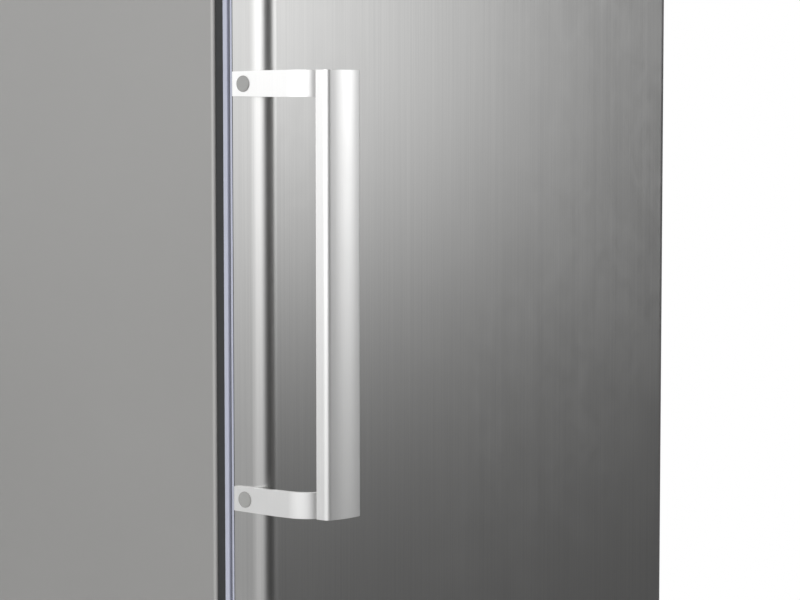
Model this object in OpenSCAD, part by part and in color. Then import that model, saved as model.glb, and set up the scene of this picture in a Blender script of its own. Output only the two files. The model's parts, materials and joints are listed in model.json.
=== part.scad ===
// Freestanding single-door refrigerator with a side-mounted bar handle.
// Cabinet coordinates: X to the right seen from the front, Y from the cabinet's
// front edge to the rear, Z up from the floor. The last lines move the whole
// refrigerator so that the origin is the bottom centre of its bounding box.

/* [Cabinet] */
// Width of the cabinet and of the door
cab_w = 595; // [560:5:640]
// Height from the floor to the top panel
cab_h = 1850; // [1800:10:1950]
// Depth of the cabinet, from its front edge to its rear panel
body_d = 560; // [540:5:620]
// Thickness of the side walls, with their insulation
side_wall = 50; // [45:1:56]
// Thickness of the wall behind the food compartment
rear_wall = 60; // [50:1:66]
// Thickness of the wall above the food compartment
top_wall = 50; // [42:1:60]
// Height of the food compartment's floor
floor_z = 112; // [104:1:118]
// Sheet thickness of the side panels
sheet_t = 1; // [0.8:0.1:1.4]
// Width of the folded front edge of a side panel
hem_w = 28; // [24:1:32]
// Radius of the side panel's front corner
edge_r = 2.5; // [2:0.1:3]
// Wall of the inner liner
liner_t = 2; // [1.5:0.1:3]
// Thickness of the top panel
top_t = 24; // [20:1:26]

/* [Machine compartment] */
// Depth of the machine compartment, from the rear panel
niche_d = 190; // [180:1:200]
// Room from the floor pan to the compartment's ceiling, beyond the compressor's height
niche_air = 66; // [62:1:70]
// Insulation between the machine compartment and the food
hump_wall = 45; // [40:1:48]
// Height of the steel floor pan
pan_z = 30; // [28:1:34]
// Thickness of the steel floor pan
pan_t = 2; // [1.5:0.1:3]
// Diameter of the compressor
comp_d = 160; // [140:1:164]
// Height of the compressor shell
comp_h = 166; // [150:1:168]

/* [Door] */
// Depth of the steel skin on the side of the door
skin_side = 32; // [28:0.5:40]
// Thickness of the steel skin
skin_t = 0.8; // [0.6:0.1:1.2]
// Radius of the two vertical front corners
corner_r = 14; // [10:0.5:18]
// Depth of the grooved plastic frame behind the skin
frame_d = 10.4; // [9:0.1:13]
// Width of the groove that runs round the plastic frame
groove_w = 2.7; // [2:0.1:3.5]
// Depth of that groove
groove_d = 3.4; // [1.5:0.1:3.8]
// Gap between the cabinet and the closed door, which the gasket fills
gasket_gap = 9.6; // [8:0.1:12]
// Height of the door's lower edge above the floor
door_z = 52; // [50:1:58]
// Distance from the top of the cabinet down to the door's upper edge
door_drop = 12; // [11:1:14]
// Depth of the hollow ridges on the inside of the door
ridge_d = 28; // [20:1:32]

/* [Handle] */
// Distance between the two fixing screws
hole_pitch = 320; // [240:5:400]
// Height of the handle's middle above the floor
handle_z = 1062; // [950:1:1150]
// Thickness of the two straps
strap_t = 3; // [2:0.1:4]
// Height of a strap where it is screwed to the door
strap_h_rear = 18.8; // [16:0.1:24]
// Height of a strap at the bar
strap_h_front = 20.2; // [17:0.1:26]
// Outside radius of the bend in a strap
strap_bend_r = 26; // [20:0.5:30]
// Distance from the door's front to the outside of a strap's tab
tab_reach = 50; // [44:0.5:56]
// Width of the bar
bar_w = 34.5; // [28:0.5:42]
// Wall of the bar
bar_t = 3; // [2:0.1:4]
// Radius of the bar's crowned front
bar_crown_r = 60; // [50:1:90]
// Radius of the bar's left edge
bar_edge_r = 5; // [4:0.1:7]
// Diameter of the round screw caps
cap_d = 12.4; // [10:0.1:15]

/* [Interior] */
// Number of glass shelves
shelf_count = 5; // [3:1:5]
// Thickness of the glass
glass_t = 4; // [3.2:0.1:5]
// Height of the lowest glass shelf
shelf_z = 452; // [450:1:470]
// Step between the shelf supports
rib_pitch = 62; // [58:1:66]
// Supports from one shelf to the next
ribs_per_shelf = 4; // [4:1:4]
// Wall of the drawers and door bins
bin_t = 2.4; // [1.8:0.1:3]
// Depth of the door bins
bin_d = 103; // [80:1:106]
// Radius of the circulation fan
fan_r = 38; // [30:1:42]
// Number of fan blades
blade_count = 7; // [5:1:9]

/* [Rear] */
// Number of runs of the condenser
condenser_runs = 17; // [9:2:19]
// Distance between the runs
run_pitch = 56; // [50:1:60]
// Radius of the condenser tube
tube_r = 2.5; // [2:0.1:3]
// Radius of the condenser wires
wire_r = 0.8; // [0.6:0.1:1]
// Distance between the condenser wires
wire_pitch = 20; // [15:1:24]
// Distance from the rear panel to the wall spacers' ends
spacer_d = 40; // [36:1:50]

/* [Hidden] */
$fn = 48;

far = 4000;
run_gap = 0.06;
seat_gap = 0.2;
slope_k = sqrt(2) - 1;

// Cabinet levels and planes
half_w = cab_w / 2;
hem_t = 2 * sheet_t;
panel_z = 14;
roof_z = cab_h - top_t;
ceil_z = roof_z - top_wall;
pan_top = pan_z + pan_t;
niche_y = body_d - niche_d;
niche_top = pan_z + comp_h + niche_air;
rear_t = 0.8;
foam_rear = body_d - sheet_t - rear_t;
cav_x = half_w - side_wall;
rear_in = body_d - rear_wall;
hump_y = niche_y - hump_wall;
hump_top = niche_top + hump_wall;
slope_c = 60;
flange_x = half_w - hem_w;
rail_top = 62;

// Door planes
door_rear = -gasket_gap;
skin_rear = door_rear - frame_d;
door_front = skin_rear - skin_side;
door_top = cab_h - door_drop;
lip_t = 3;
plug_t = 12;
skin_z0 = door_z + lip_t;
skin_z1 = door_top - lip_t;
frame_w = 14;
hinge_x = half_w - 12.5;
hinge_y = -28;
pin_r = 4;
bush_r = 7;
gasket_w = 14;
gasket_z0 = rail_top + 2;
gasket_z1 = roof_z - 4;
ridge_x = cav_x - 8;
ridge_w = 24;
ridge_in = ridge_x - ridge_w;

// Handle in plan, from the door's left side and from its front
strap_out = -half_w - strap_t;
strap_end_y = skin_rear - 2;
cap_y = strap_end_y - 11;
cap_proud = 0.9;
bend_a = tab_reach - strap_bend_r;
tab_end = 34;
bar_left = 4.5;
bar_crown_b = 30;
bar_reach = tab_reach + 12;
bar_len = hole_pitch + strap_h_front;
bar_axis_a = bar_reach - bar_crown_r;
bar_edge_b = bar_left + bar_edge_r;
bar_edge_a = bar_axis_a
    + sqrt(pow(bar_crown_r - bar_edge_r, 2) - pow(bar_crown_b - bar_edge_b, 2));
bar_lip_a = tab_reach - 4;
rib_b = 22;
rib_w = 11;

// Interior planes
shelf_front = 118;
shelf_gap = 1;
trim_d = 12;
trim_h = 14;
rib_w_in = 12;
rib_h = 8;
rib_count = 19;
drawer_x = cav_x - 7;
drawer_front = 112;
crisper_top = hump_top - rib_h - 4;
fresh_z0 = hump_top + glass_t + 0.4;
fresh_z1 = shelf_z - 10;
bin_x = ridge_in - 9;
bin_y0 = door_rear + 0.4;
ridge_z0 = floor_z + 8;
ridge_z1 = ceil_z - 8;
bottle_z = ridge_z0 + ridge_w + 4;
middle_z = 560;
upper_z = 980;
dairy_z = 1400;
bottle_h = 110;
middle_h = 84;
upper_h = 74;
dairy_h = 112;
dairy_front_h = 44;
lug_y = door_rear + 8;
lug_d = 12;
lug_p = 6;
lug_z = 14;
lug_h = 32;
duct_x = 65;
duct_d = 30;
duct_y = rear_in - duct_d;
shelf_rear = duct_y - 8;
duct_z0 = shelf_z + 30;
fan_z = shelf_z + rib_pitch * ribs_per_shelf * 3.5;
fan_box = 2 * fan_r + 18;
fan_hub_r = 14;
duct_z1 = fan_z + fan_box / 2 + 150;

// Machine compartment
comp_x = 187.5 - half_w;
comp_y = (niche_y + body_d) / 2 - 2;
grommet_h = 14;
plate_z = pan_top + grommet_h;
plate_t = 3;
comp_mid = plate_z + plate_t + comp_h / 2;
port_y = sqrt(pow(comp_d / 2, 2) - pow(30, 2)) - 3;
foot_x = half_w - 52;
foot_y = 60;
roller_x = half_w - 48;
roller_y = body_d - 46;
roller_r = 13;
roller_w = 16;
cond_y = body_d + 17;
cond_z0 = niche_top + 80;
cond_x = half_w - 62;
bracket_x = cond_x - 36;

hinge_t = 3;
cover_h = 12;
pin_depth = 14;
bush_depth = 16;
plate_low = door_z - 10;
screw_r = 2.2;
screw_len = 18;
plate_in = 2;
plate_y0 = door_front + corner_r - cap_y + 0.3;
head_h = 0.9;
cap_in = 0.6;
tab_screw_r = 2;
lip_set = 2.5;
ridge_front = 3.3;
foam_seam = 0.2;
lid_y = bin_y0 + 6;
lid_z = dairy_z + dairy_h - 6;
lid_pin_r = 2;
slider_z = crisper_top - 34;
slider_travel = 15;
rear_flange = 20;
hinge_pad_y = 90;
top_cells = 6;
cell_w = (cab_w - 3) / top_cells;
drain_r = 7;
drain_x = comp_x + 30;
drain_y = rear_in - 24;
evap_x = 190;
evap_z0 = 520;
evap_z1 = 1640;
evap_d = 8;
evap_runs = 15;
boss_h = 8;
foot_r = 5;
foot_pad_r = 20;
cheek_t = 2;
axle_r = 3;
stud_r = 3;
plinth_y = 24;
slot_pitch = 14;
rack_count = 5;
rack_wire = 2;
rack_pitch = (2 * cav_x - 2 * rib_w_in - 14) / rack_count;
rack_r = rack_pitch * 0.63;
housing_h = 42;
housing_x = 165;
housing_y = 96;
housing_y1 = 350;
lens_x = 80;
lens_y0 = 170;
lens_y1 = 270;
knob_x = 110;
knob_r = 17;
knob_z = ceil_z - housing_h / 2 - 1;
run_x = cond_x - run_pitch / 2;
cond_top = cond_z0 + (condenser_runs - 1) * run_pitch;
wire_count = 2 * floor(cond_x / wire_pitch);
plate_x = 96;
plate_y = 62;
stud_x = 82;
stud_y = 48;
tray_z = plate_z + plate_t + comp_h;
drier_x = 150;
drier_y = body_d - 24;

// Bounding box centre in cabinet coordinates
mid_x = -(strap_t + cap_proud) / 2;
mid_y = (door_front - bar_reach + body_d + spacer_d) / 2;

steel_grey = [0.62, 0.62, 0.6];
brushed = [0.66, 0.66, 0.66];
silver = [0.86, 0.86, 0.87];
white = [0.93, 0.94, 0.95];
dark = [0.14, 0.14, 0.15];
clear = [0.8, 0.88, 0.9, 0.5];
copper = [0.72, 0.42, 0.26];

// Extrudes a profile drawn in Y and Z along X.
module along_x(x0, len) {
    translate([x0, 0, 0])
        rotate([90, 0, 90])
            linear_extrude(height = len)
                children();
}

// Extrudes a profile drawn in X and Z along Y.
module along_y(y0, len) {
    translate([0, y0 + len, 0])
        rotate([90, 0, 0])
            linear_extrude(height = len)
                children();
}

// Extrudes a profile drawn in X and Y along Z.
module along_z(z0, len) {
    translate([0, 0, z0])
        linear_extrude(height = len)
            children();
}

// Box between two corners.
module block(low, high) {
    translate(low)
        cube([high[0] - low[0], high[1] - low[1], high[2] - low[2]]);
}

// Rod between two ends that lie on one axis.
module rod_x(x0, x1, y, z, r) {
    translate([x0, y, z])
        rotate([0, 90, 0])
            cylinder(r = r, h = x1 - x0);
}
module rod_y(x, y0, y1, z, r) {
    translate([x, y0, z])
        rotate([-90, 0, 0])
            cylinder(r = r, h = y1 - y0);
}
module rod_z(x, y, z0, z1, r) {
    translate([x, y, z0])
        cylinder(r = r, h = z1 - z0);
}

// Copies a piece to the other side of the cabinet.
module both_sides() {
    children();
    mirror([1, 0, 0])
        children();
}

// Upright rectangular ring: outer half width, band width, and its Y and Z limits.
module ring(x, w, y0, y1, z0, z1) {
    difference() {
        block([-x, y0, z0], [x, y1, z1]);
        block([-x + w, y0 - 1, z0 + w], [x - w, y1 + 1, z1 - w]);
    }
}

// Ring sector in the plane, from angle a0 to a1, under half a turn.
module sector_band(r, t, a0, a1) {
    intersection() {
        difference() {
            circle(r = r, $fn = 96);
            circle(r = r - t, $fn = 96);
        }
        polygon([[0, 0], 2 * r * [cos(a0), sin(a0)],
            3 * r * [cos((a0 + a1) / 2), sin((a0 + a1) / 2)],
            2 * r * [cos(a1), sin(a1)]]);
    }
}

// Section of the foamed body: t is the sheet laid on its rear and on the machine compartment.
function body_section(t) = [[hem_t, pan_top], [niche_y + t, pan_top],
    [niche_y + t, niche_top - slope_c - slope_k * t],
    [niche_y + slope_c + slope_k * t, niche_top - t],
    [foam_rear + t, niche_top - t], [foam_rear + t, roof_z], [hem_t, roof_z]];

// Section of the food compartment, grown outwards by t.
function cavity_section(t, y0) = [[y0, floor_z - t], [hump_y + t, floor_z - t],
    [hump_y + t, hump_top - slope_c - slope_k * t],
    [hump_y + slope_c + slope_k * t, hump_top - t],
    [rear_in + t, hump_top - t], [rear_in + t, ceil_z + t], [y0, ceil_z + t]];

// Folded sheet of the right side: hem in front, flange at the rear.
module side_sheet() {
    along_z(panel_z, roof_z - panel_z) {
        translate([half_w - sheet_t, edge_r])
            square([sheet_t, body_d - edge_r]);
        translate([flange_x, 0])
            square([half_w - edge_r - flange_x, hem_t]);
        translate([half_w - rear_flange, body_d - sheet_t])
            square([rear_flange, sheet_t]);
        intersection() {
            translate([half_w - edge_r, edge_r])
                difference() {
                    circle(r = edge_r);
                    circle(r = edge_r - sheet_t);
                }
            translate([half_w - edge_r, 0])
                square([edge_r, edge_r]);
        }
    }
}

module side_panel_right() {
    color(steel_grey)
        side_sheet();
}

module side_panel_left() {
    color(steel_grey)
        mirror([1, 0, 0])
            side_sheet();
}

// Top cover: a ribbed plastic tray, upside down, with a solid pad under the hinge.
module top_panel() {
    r = 8;
    w = 3;
    color(steel_grey)
        difference() {
            union() {
                along_z(roof_z, top_t) {
                    translate([-half_w, r])
                        square([cab_w, body_d - 2 * r]);
                    translate([-half_w + r, 0])
                        square([cab_w - 2 * r, body_d]);
                    for (x = [-half_w + r, half_w - r], y = [r, body_d - r])
                        translate([x, y])
                            circle(r = r);
                }
            }
            for (i = [0 : top_cells - 1])
                block([-half_w + w + i * cell_w, w, roof_z - 1],
                    [-half_w + (i + 1) * cell_w, hinge_pad_y, cab_h - w]);
            for (i = [0 : top_cells - 1])
                block([-half_w + w + i * cell_w, hinge_pad_y + w, roof_z - 1],
                    [-half_w + (i + 1) * cell_w, body_d - w, cab_h - w]);
            upper_hinge_screws(0);
        }
    color(steel_grey)
        difference() {
            block([hinge_x - 50, w - 1, roof_z], [half_w - w + 1, hinge_pad_y + 1, cab_h - w + 1]);
            upper_hinge_screws(0);
        }
}

// Sheet on the rear wall and on the machine compartment.
module rear_panel() {
    w = half_w - sheet_t;
    color([0.7, 0.71, 0.72])
        difference() {
            along_x(-w, 2 * w)
                polygon(body_section(rear_t));
            along_x(-half_w, cab_w)
                polygon(body_section(0));
            block([-half_w, 0, 0], [half_w, niche_y, cab_h]);
            drain_bore(drain_r);
        }
}

module drain_bore(r) {
    rod_z(drain_x, drain_y, niche_top - 30, hump_top - liner_t + 0.5, r);
}

// Foam between the liner and the outer sheets.
module insulation_foam() {
    w = half_w - sheet_t;
    color([0.9, 0.84, 0.62])
        difference() {
            along_x(-w, 2 * w)
                polygon(body_section(0));
            along_x(-cav_x - liner_t, 2 * (cav_x + liner_t))
                polygon(cavity_section(liner_t, -1));
            both_sides()
                block([half_w - edge_r, 0, pan_top - 1], [half_w, edge_r, roof_z + 1]);
            block([-evap_x, rear_in + liner_t - 1, evap_z0],
                [evap_x, rear_in + liner_t + evap_d, evap_z1]);
            drain_bore(drain_r);
            lower_hinge_screws(0);
        }
}

// Side wall rib that carries a shelf whose underside is at z.
module liner_rib(y0, y1, z) {
    both_sides()
        block([cav_x - rib_w_in, y0, z - rib_h], [cav_x + 0.5, y1, z]);
}

// Vacuum-formed liner of the food compartment.
module inner_liner() {
    color(white)
        difference() {
            union() {
                along_x(-cav_x - liner_t, 2 * (cav_x + liner_t))
                    polygon(cavity_section(liner_t, 0));
                block([-flange_x, 0, rail_top], [flange_x, hem_t, roof_z]);
            }
            along_x(-cav_x, 2 * cav_x)
                polygon(cavity_section(0, -1));
            rod_z(drain_x, drain_y, hump_top - 20, hump_top + 1, drain_r - 2);
            lower_hinge_screws(0);
        }
    color(white) {
        for (i = [0 : rib_count - 1])
            liner_rib(shelf_front + trim_d + 2, shelf_rear - trim_d - 2, shelf_z + i * rib_pitch);
        liner_rib(drawer_front + trim_d + 2, hump_y + 4, hump_top);
    }
}

// Steel floor pan with the front rail, foot bosses, roller cheeks and axles.
module base_pan() {
    w = half_w - sheet_t;
    color([0.5, 0.51, 0.52])
        difference() {
            union() {
                block([-w, edge_r + 0.5, pan_z], [w, body_d - sheet_t, pan_top]);
                block([-flange_x, 0, pan_z], [flange_x, edge_r + 1, pan_top]);
                block([-flange_x, 0, pan_z], [flange_x, hem_t, rail_top]);
                both_sides()
                    rod_z(foot_x, foot_y, pan_z - boss_h, pan_z + 0.5, foot_r + 5);
                both_sides()
                    for (s = [-1, 1])
                        translate([roller_x + s * (roller_w / 2 + 0.3 + cheek_t / 2), 0, 0])
                            block([-cheek_t / 2, roller_y - 11, roller_r - 7],
                                [cheek_t / 2, roller_y + 11, pan_z + 0.5]);
                both_sides()
                    rod_x(roller_x - roller_w / 2 - 2, roller_x + roller_w / 2 + 2,
                        roller_y, roller_r, axle_r);
            }
            both_sides()
                rod_z(foot_x, foot_y, 0, pan_top + 1, foot_r + run_gap);
            grommet_places()
                rod_z(0, 0, pan_z - 1, pan_top + 1, stud_r + run_gap);
            lower_hinge_screws(0);
        }
}

// Slotted plinth under the floor pan.
module plinth() {
    x1 = foot_x - foot_pad_r - 6;
    n = floor((2 * x1 - 20) / slot_pitch);
    color(dark)
        difference() {
            union() {
                block([-x1, plinth_y, 12], [x1, plinth_y + 3, pan_z]);
                block([-x1, plinth_y, pan_z - 3], [x1, plinth_y + 16, pan_z]);
            }
            for (i = [0 : n])
                translate([(i - n / 2) * slot_pitch, 0, 0])
                    block([-2.5, plinth_y - 1, 15], [2.5, plinth_y + 4, pan_z - 6]);
        }
}

function shelf_level(i) = shelf_z + i * ribs_per_shelf * rib_pitch;

// Glass panes of the shelves.
module shelf_glass() {
    w = cav_x - shelf_gap;
    color(clear)
        for (i = [0 : shelf_count - 1])
            block([-w, shelf_front + 5, shelf_level(i)],
                [w, shelf_rear - 5, shelf_level(i) + glass_t]);
}

// Pane that covers the crisper and carries the upper drawer.
module crisper_cover() {
    w = cav_x - shelf_gap;
    color(clear)
        block([-w, drawer_front + 5, hump_top], [w, rear_in - shelf_gap, hump_top + glass_t]);
}

// Moulded edges: on the front and rear of each shelf, and on the front of the crisper cover.
module shelf_trims() {
    w = cav_x - shelf_gap;
    color(white) {
        for (i = [0 : shelf_count - 1])
            translate([0, 0, shelf_level(i)]) {
                difference() {
                    union() {
                        block([-w, shelf_front + 3, -5], [w, shelf_front + trim_d, trim_h - 5]);
                        block([-w, shelf_front, -2], [w, shelf_front + trim_d, trim_h - 8]);
                        rod_x(-w, w, shelf_front + 3, -2, 3);
                        rod_x(-w, w, shelf_front + 3, trim_h - 8, 3);
                    }
                    block([-w - 1, shelf_front + 5, 0], [w + 1, shelf_rear, glass_t]);
                    block([-w - 1, shelf_front + trim_d - 3, glass_t - 1],
                        [w + 1, shelf_rear, trim_h]);
                }
                difference() {
                    block([-w, shelf_rear - trim_d, -5], [w, shelf_rear, trim_h + 4]);
                    block([-w - 1, 0, 0], [w + 1, shelf_rear - 5, glass_t]);
                    block([-w - 1, 0, glass_t + 3], [w + 1, shelf_rear - 3, trim_h + 5]);
                }
            }
        difference() {
            block([-w, drawer_front, hump_top - 6],
                [w, drawer_front + trim_d, hump_top + glass_t]);
            block([-w - 1, drawer_front + 5, hump_top],
                [w + 1, rear_in, hump_top + glass_t + 1]);
        }
    }
}

// Arc of a rack wire in the X-Z plane, hanging down between two cusps.
module rack_arc(x, y, z) {
    drop = sqrt(pow(rack_r, 2) - pow(rack_pitch / 2, 2));
    half = asin(rack_pitch / 2 / rack_r);
    translate([x, y, z + drop])
        rotate([90, 0, 0])
            rotate([0, 0, 270 - half])
                rotate_extrude(angle = 2 * half, $fn = 96)
                    translate([rack_r, 0])
                        circle(r = rack_wire, $fn = 24);
}

// Wire rack for lying bottles.
module bottle_rack() {
    z = shelf_z + 2 * rib_pitch + rack_wire + 0.4;
    w = cav_x - shelf_gap - rack_wire - 0.5;
    color([0.8, 0.8, 0.82]) {
        for (y = [shelf_front + 30, (shelf_front + shelf_rear) / 2, shelf_rear - 30]) {
            for (i = [0 : rack_count - 1])
                rack_arc((i - (rack_count - 1) / 2) * rack_pitch, y, z);
            for (i = [0 : rack_count])
                translate([(i - rack_count / 2) * rack_pitch, y, z])
                    sphere(r = rack_wire + 0.5, $fn = 24);
            both_sides()
                rod_x(rack_count * rack_pitch / 2, w, y, z, rack_wire);
        }
        both_sides()
            rod_y(w, shelf_front + 20, shelf_rear - 20, z, rack_wire + 0.4);
        for (i = [0 : rack_count])
            translate([(i - rack_count / 2) * rack_pitch, 0, z + 1.5 * rack_wire])
                rod_y(0, shelf_front + 28, shelf_rear - 28, 0, rack_wire);
    }
}

// Cover of the air duct on the rear wall, with its outlets and the fan guard.
module air_duct() {
    w = 2;
    color(white) {
        difference() {
            union() {
                block([-duct_x + 6, duct_y, duct_z0], [duct_x - 6, rear_in, duct_z1]);
                block([-duct_x, duct_y + 6, duct_z0], [duct_x, rear_in, duct_z1]);
                both_sides()
                    rod_z(duct_x - 6, duct_y + 6, duct_z0, duct_z1, 6);
            }
            block([-duct_x + 8, duct_y + w, duct_z0 + w], [duct_x - 8, rear_in + 1, duct_z1 - w]);
            block([-duct_x + w, duct_y + 8, duct_z0 + w], [duct_x - w, rear_in + 1, duct_z1 - w]);
            rod_y(0, duct_y - 1, duct_y + w + 1, fan_z, fan_r);
            for (i = [0 : shelf_count - 2], k = [0 : 2])
                block([-duct_x + 20, duct_y - 1, shelf_level(i) + 110 + 14 * k],
                    [duct_x - 20, duct_y + w + 1, shelf_level(i) + 116 + 14 * k]);
        }
        for (r = [fan_r * 0.3, fan_r * 0.62, fan_r * 0.94])
            difference() {
                rod_y(0, duct_y, duct_y + w, fan_z, r + 1);
                rod_y(0, duct_y - 1, duct_y + w + 1, fan_z, r - 1);
            }
        for (a = [0 : 60 : 120])
            translate([0, 0, fan_z])
                rotate([0, a, 0])
                    block([-fan_r - 1, duct_y, -0.9], [fan_r + 1, duct_y + w, 0.9]);
    }
}

// Fan frame with its spokes, motor and shaft.
module fan_motor() {
    y0 = duct_y + 2;
    y1 = rear_in;
    color(dark) {
        difference() {
            block([-fan_box / 2, y0, fan_z - fan_box / 2], [fan_box / 2, y1, fan_z + fan_box / 2]);
            rod_y(0, y0 - 1, y1 + 1, fan_z, fan_r + 1.2);
        }
        rod_y(0, y1 - 10, y1, fan_z, fan_hub_r);
        rod_y(0, y0 + 4, y1 - 9, fan_z, 2);
        for (a = [45, 135])
            translate([0, 0, fan_z])
                rotate([0, a, 0])
                    block([-fan_r - 3, y1 - 4, -3], [fan_r + 3, y1, 3]);
    }
}

module fan_rotor() {
    y0 = duct_y + 5;
    y1 = rear_in - 10.3;
    color([0.25, 0.26, 0.28])
        difference() {
            union() {
                rod_y(0, y0, y1, fan_z, fan_hub_r);
                intersection() {
                    rod_y(0, y0, y1, fan_z, fan_r);
                    for (i = [0 : blade_count - 1])
                        translate([0, (y0 + y1) / 2, fan_z])
                            rotate([0, i * 360 / blade_count, 0])
                                translate([fan_hub_r - 1, 0, 0])
                                    rotate([38, 0, 0])
                                        translate([0, -0.8, -14])
                                            cube([fan_r, 1.6, 28]);
                }
            }
            rod_y(0, y0 - 1, y1 + 1, fan_z, 2 + run_gap);
        }
}

// Roll-bond evaporator behind the liner: a plate with a serpentine channel.
module evaporator() {
    y = rear_in + liner_t;
    x1 = evap_x - 30;
    color([0.75, 0.76, 0.78]) {
        block([-evap_x + 2, y, evap_z0 + 2], [evap_x - 2, y + 1.5, evap_z1 - 2]);
        for (i = [0 : evap_runs - 1])
            rod_x(-x1, x1, y + 3.5, evap_run_z(i), 3);
        for (i = [0 : evap_runs - 2])
            rod_z(i % 2 == 0 ? x1 : -x1, y + 3.5, evap_run_z(i), evap_run_z(i + 1), 3);
        for (i = [0 : evap_runs - 1], s = [-1, 1])
            translate([s * x1, y + 3.5, evap_run_z(i)])
                sphere(r = 3.3, $fn = 24);
    }
}
function evap_run_z(i) = evap_z0 + 40 + i * (evap_z1 - evap_z0 - 80) / (evap_runs - 1);

// Housing of the thermostat and the lamp, under the ceiling.
module control_housing() {
    w = 2.5;
    z0 = ceil_z - housing_h;
    color(white)
        difference() {
            union() {
                block([-housing_x, housing_y + 10, z0], [housing_x, housing_y1, ceil_z]);
                block([-housing_x, housing_y, z0 + 10], [housing_x, housing_y1, ceil_z]);
                rod_x(-housing_x, housing_x, housing_y + 10, z0 + 10, 10);
            }
            block([-housing_x + w, housing_y + 10, z0 + w], [housing_x - w, housing_y1 - w, ceil_z + 1]);
            block([-housing_x + w, housing_y + w, z0 + 10], [housing_x - w, housing_y1 - w, ceil_z + 1]);
            rod_y(knob_x, housing_y - 1, housing_y + w + 1, knob_z, 3 + run_gap);
            block([-lens_x, lens_y0, z0 - 1], [lens_x, lens_y1, z0 + w + 1]);
            for (x = [housing_x - 60 : 8 : housing_x - 20])
                block([x, housing_y1 - 60, z0 - 1], [x + 3, housing_y1 - 14, z0 + w + 1]);
        }
}

// Lens that closes the housing from below.
module light_lens() {
    z0 = ceil_z - housing_h;
    color([0.95, 0.96, 0.98, 0.7])
        difference() {
            union() {
                block([-lens_x + 0.3, lens_y0 + 0.3, z0 - 4],
                    [lens_x - 0.3, lens_y1 - 0.3, z0 + 2.8]);
                block([-lens_x - 4, lens_y0 - 4, z0 + 2.6], [lens_x + 4, lens_y1 + 4, z0 + 4.6]);
            }
            block([-lens_x + 3, lens_y0 + 3, z0 - 2], [lens_x - 3, lens_y1 - 3, z0 + 5]);
        }
}

module led_board() {
    z0 = ceil_z - housing_h + 4.6;
    color([0.2, 0.45, 0.25]) {
        block([-lens_x - 2, (lens_y0 + lens_y1) / 2 - 12, z0],
            [lens_x + 2, (lens_y0 + lens_y1) / 2 + 12, z0 + 1.6]);
        for (i = [-2 : 2])
            translate([i * lens_x / 3, (lens_y0 + lens_y1) / 2, z0 - 1])
                block([-2.5, -2.5, 0], [2.5, 2.5, 1.5]);
    }
}

// Knob of the thermostat, with its spindle and its grip bar.
module thermostat_knob() {
    color([0.85, 0.86, 0.87]) {
        rod_y(knob_x, housing_y - 7, housing_y - seat_gap, knob_z, knob_r);
        rod_y(knob_x, housing_y - 9, housing_y - 6, knob_z, knob_r - 2);
        block([knob_x - 3, housing_y - 18, knob_z - knob_r + 3],
            [knob_x + 3, housing_y - 6, knob_z + knob_r - 3]);
        rod_y(knob_x, housing_y - 6, housing_y + 14, knob_z, 3);
    }
}

function run_z(i) = cond_z0 + i * run_pitch;

// Tube that follows points along the axes, bent to radius b at each inner point.
module tube_path(points, r, b) {
    last = len(points) - 2;
    for (i = [0 : last]) {
        n = norm(points[i + 1] - points[i]);
        d = (points[i + 1] - points[i]) / n;
        a = i == 0 ? 0 : b;
        translate(points[i] + a * d)
            rotate([0, acos(d[2]), atan2(d[1], d[0])])
                cylinder(r = r, h = n - a - (i == last ? 0 : b), $fn = 24);
        if (i < last) {
            m = norm(points[i + 2] - points[i + 1]);
            e = (points[i + 2] - points[i + 1]) / m;
            w = cross(-e, d);
            o = points[i + 1] - b * d + b * e;
            multmatrix([[-e[0], d[0], w[0], o[0]], [-e[1], d[1], w[1], o[1]],
                [-e[2], d[2], w[2], o[2]], [0, 0, 0, 1]])
                rotate_extrude(angle = 90)
                    translate([b, 0])
                        circle(r = r, $fn = 24);
        }
    }
}

// Half-turn bend of the condenser tube, side = 1 on the right.
module run_bend(i, side) {
    translate([side * run_x, cond_y, run_z(i) + run_pitch / 2])
        rotate([90, 0, 0])
            rotate([0, 0, side > 0 ? -90 : 90])
                rotate_extrude(angle = 180, $fn = 48)
                    translate([run_pitch / 2, 0])
                        circle(r = tube_r, $fn = 24);
}

// Serpentine tube on the rear, from the compressor up and back down to the drier.
module condenser_tube() {
    x0 = comp_x + 30;
    y0 = comp_y + port_y;
    down_x = cond_x + 16;
    turn_z = niche_top - 26;
    color(dark) {
        for (i = [0 : condenser_runs - 1])
            rod_x(-run_x, run_x, cond_y, run_z(i), tube_r);
        for (i = [0 : condenser_runs - 2])
            run_bend(i, i % 2 == 0 ? 1 : -1);
        tube_path([[x0, y0, comp_mid - 12], [x0, cond_y, comp_mid - 12], [x0, cond_y, cond_z0 - 40],
            [-down_x, cond_y, cond_z0 - 40], [-down_x, cond_y, cond_z0],
            [-run_x, cond_y, cond_z0]], tube_r, 12);
        tube_path([[run_x, cond_y, cond_top], [down_x, cond_y, cond_top], [down_x, cond_y, turn_z],
            [down_x, drier_y, turn_z], [drier_x, drier_y, turn_z], [drier_x, drier_y, turn_z - 30]],
            tube_r, 12);
    }
}

// Upright wires, welded to both faces of the tube runs.
module condenser_wires() {
    color(dark)
        for (i = [0 : wire_count - 1], s = [-1, 1])
            rod_z((i - (wire_count - 1) / 2) * wire_pitch, cond_y + s * (tube_r + wire_r),
                cond_z0 - 14, cond_top + 14, wire_r, $fn = 16);
}

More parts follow.
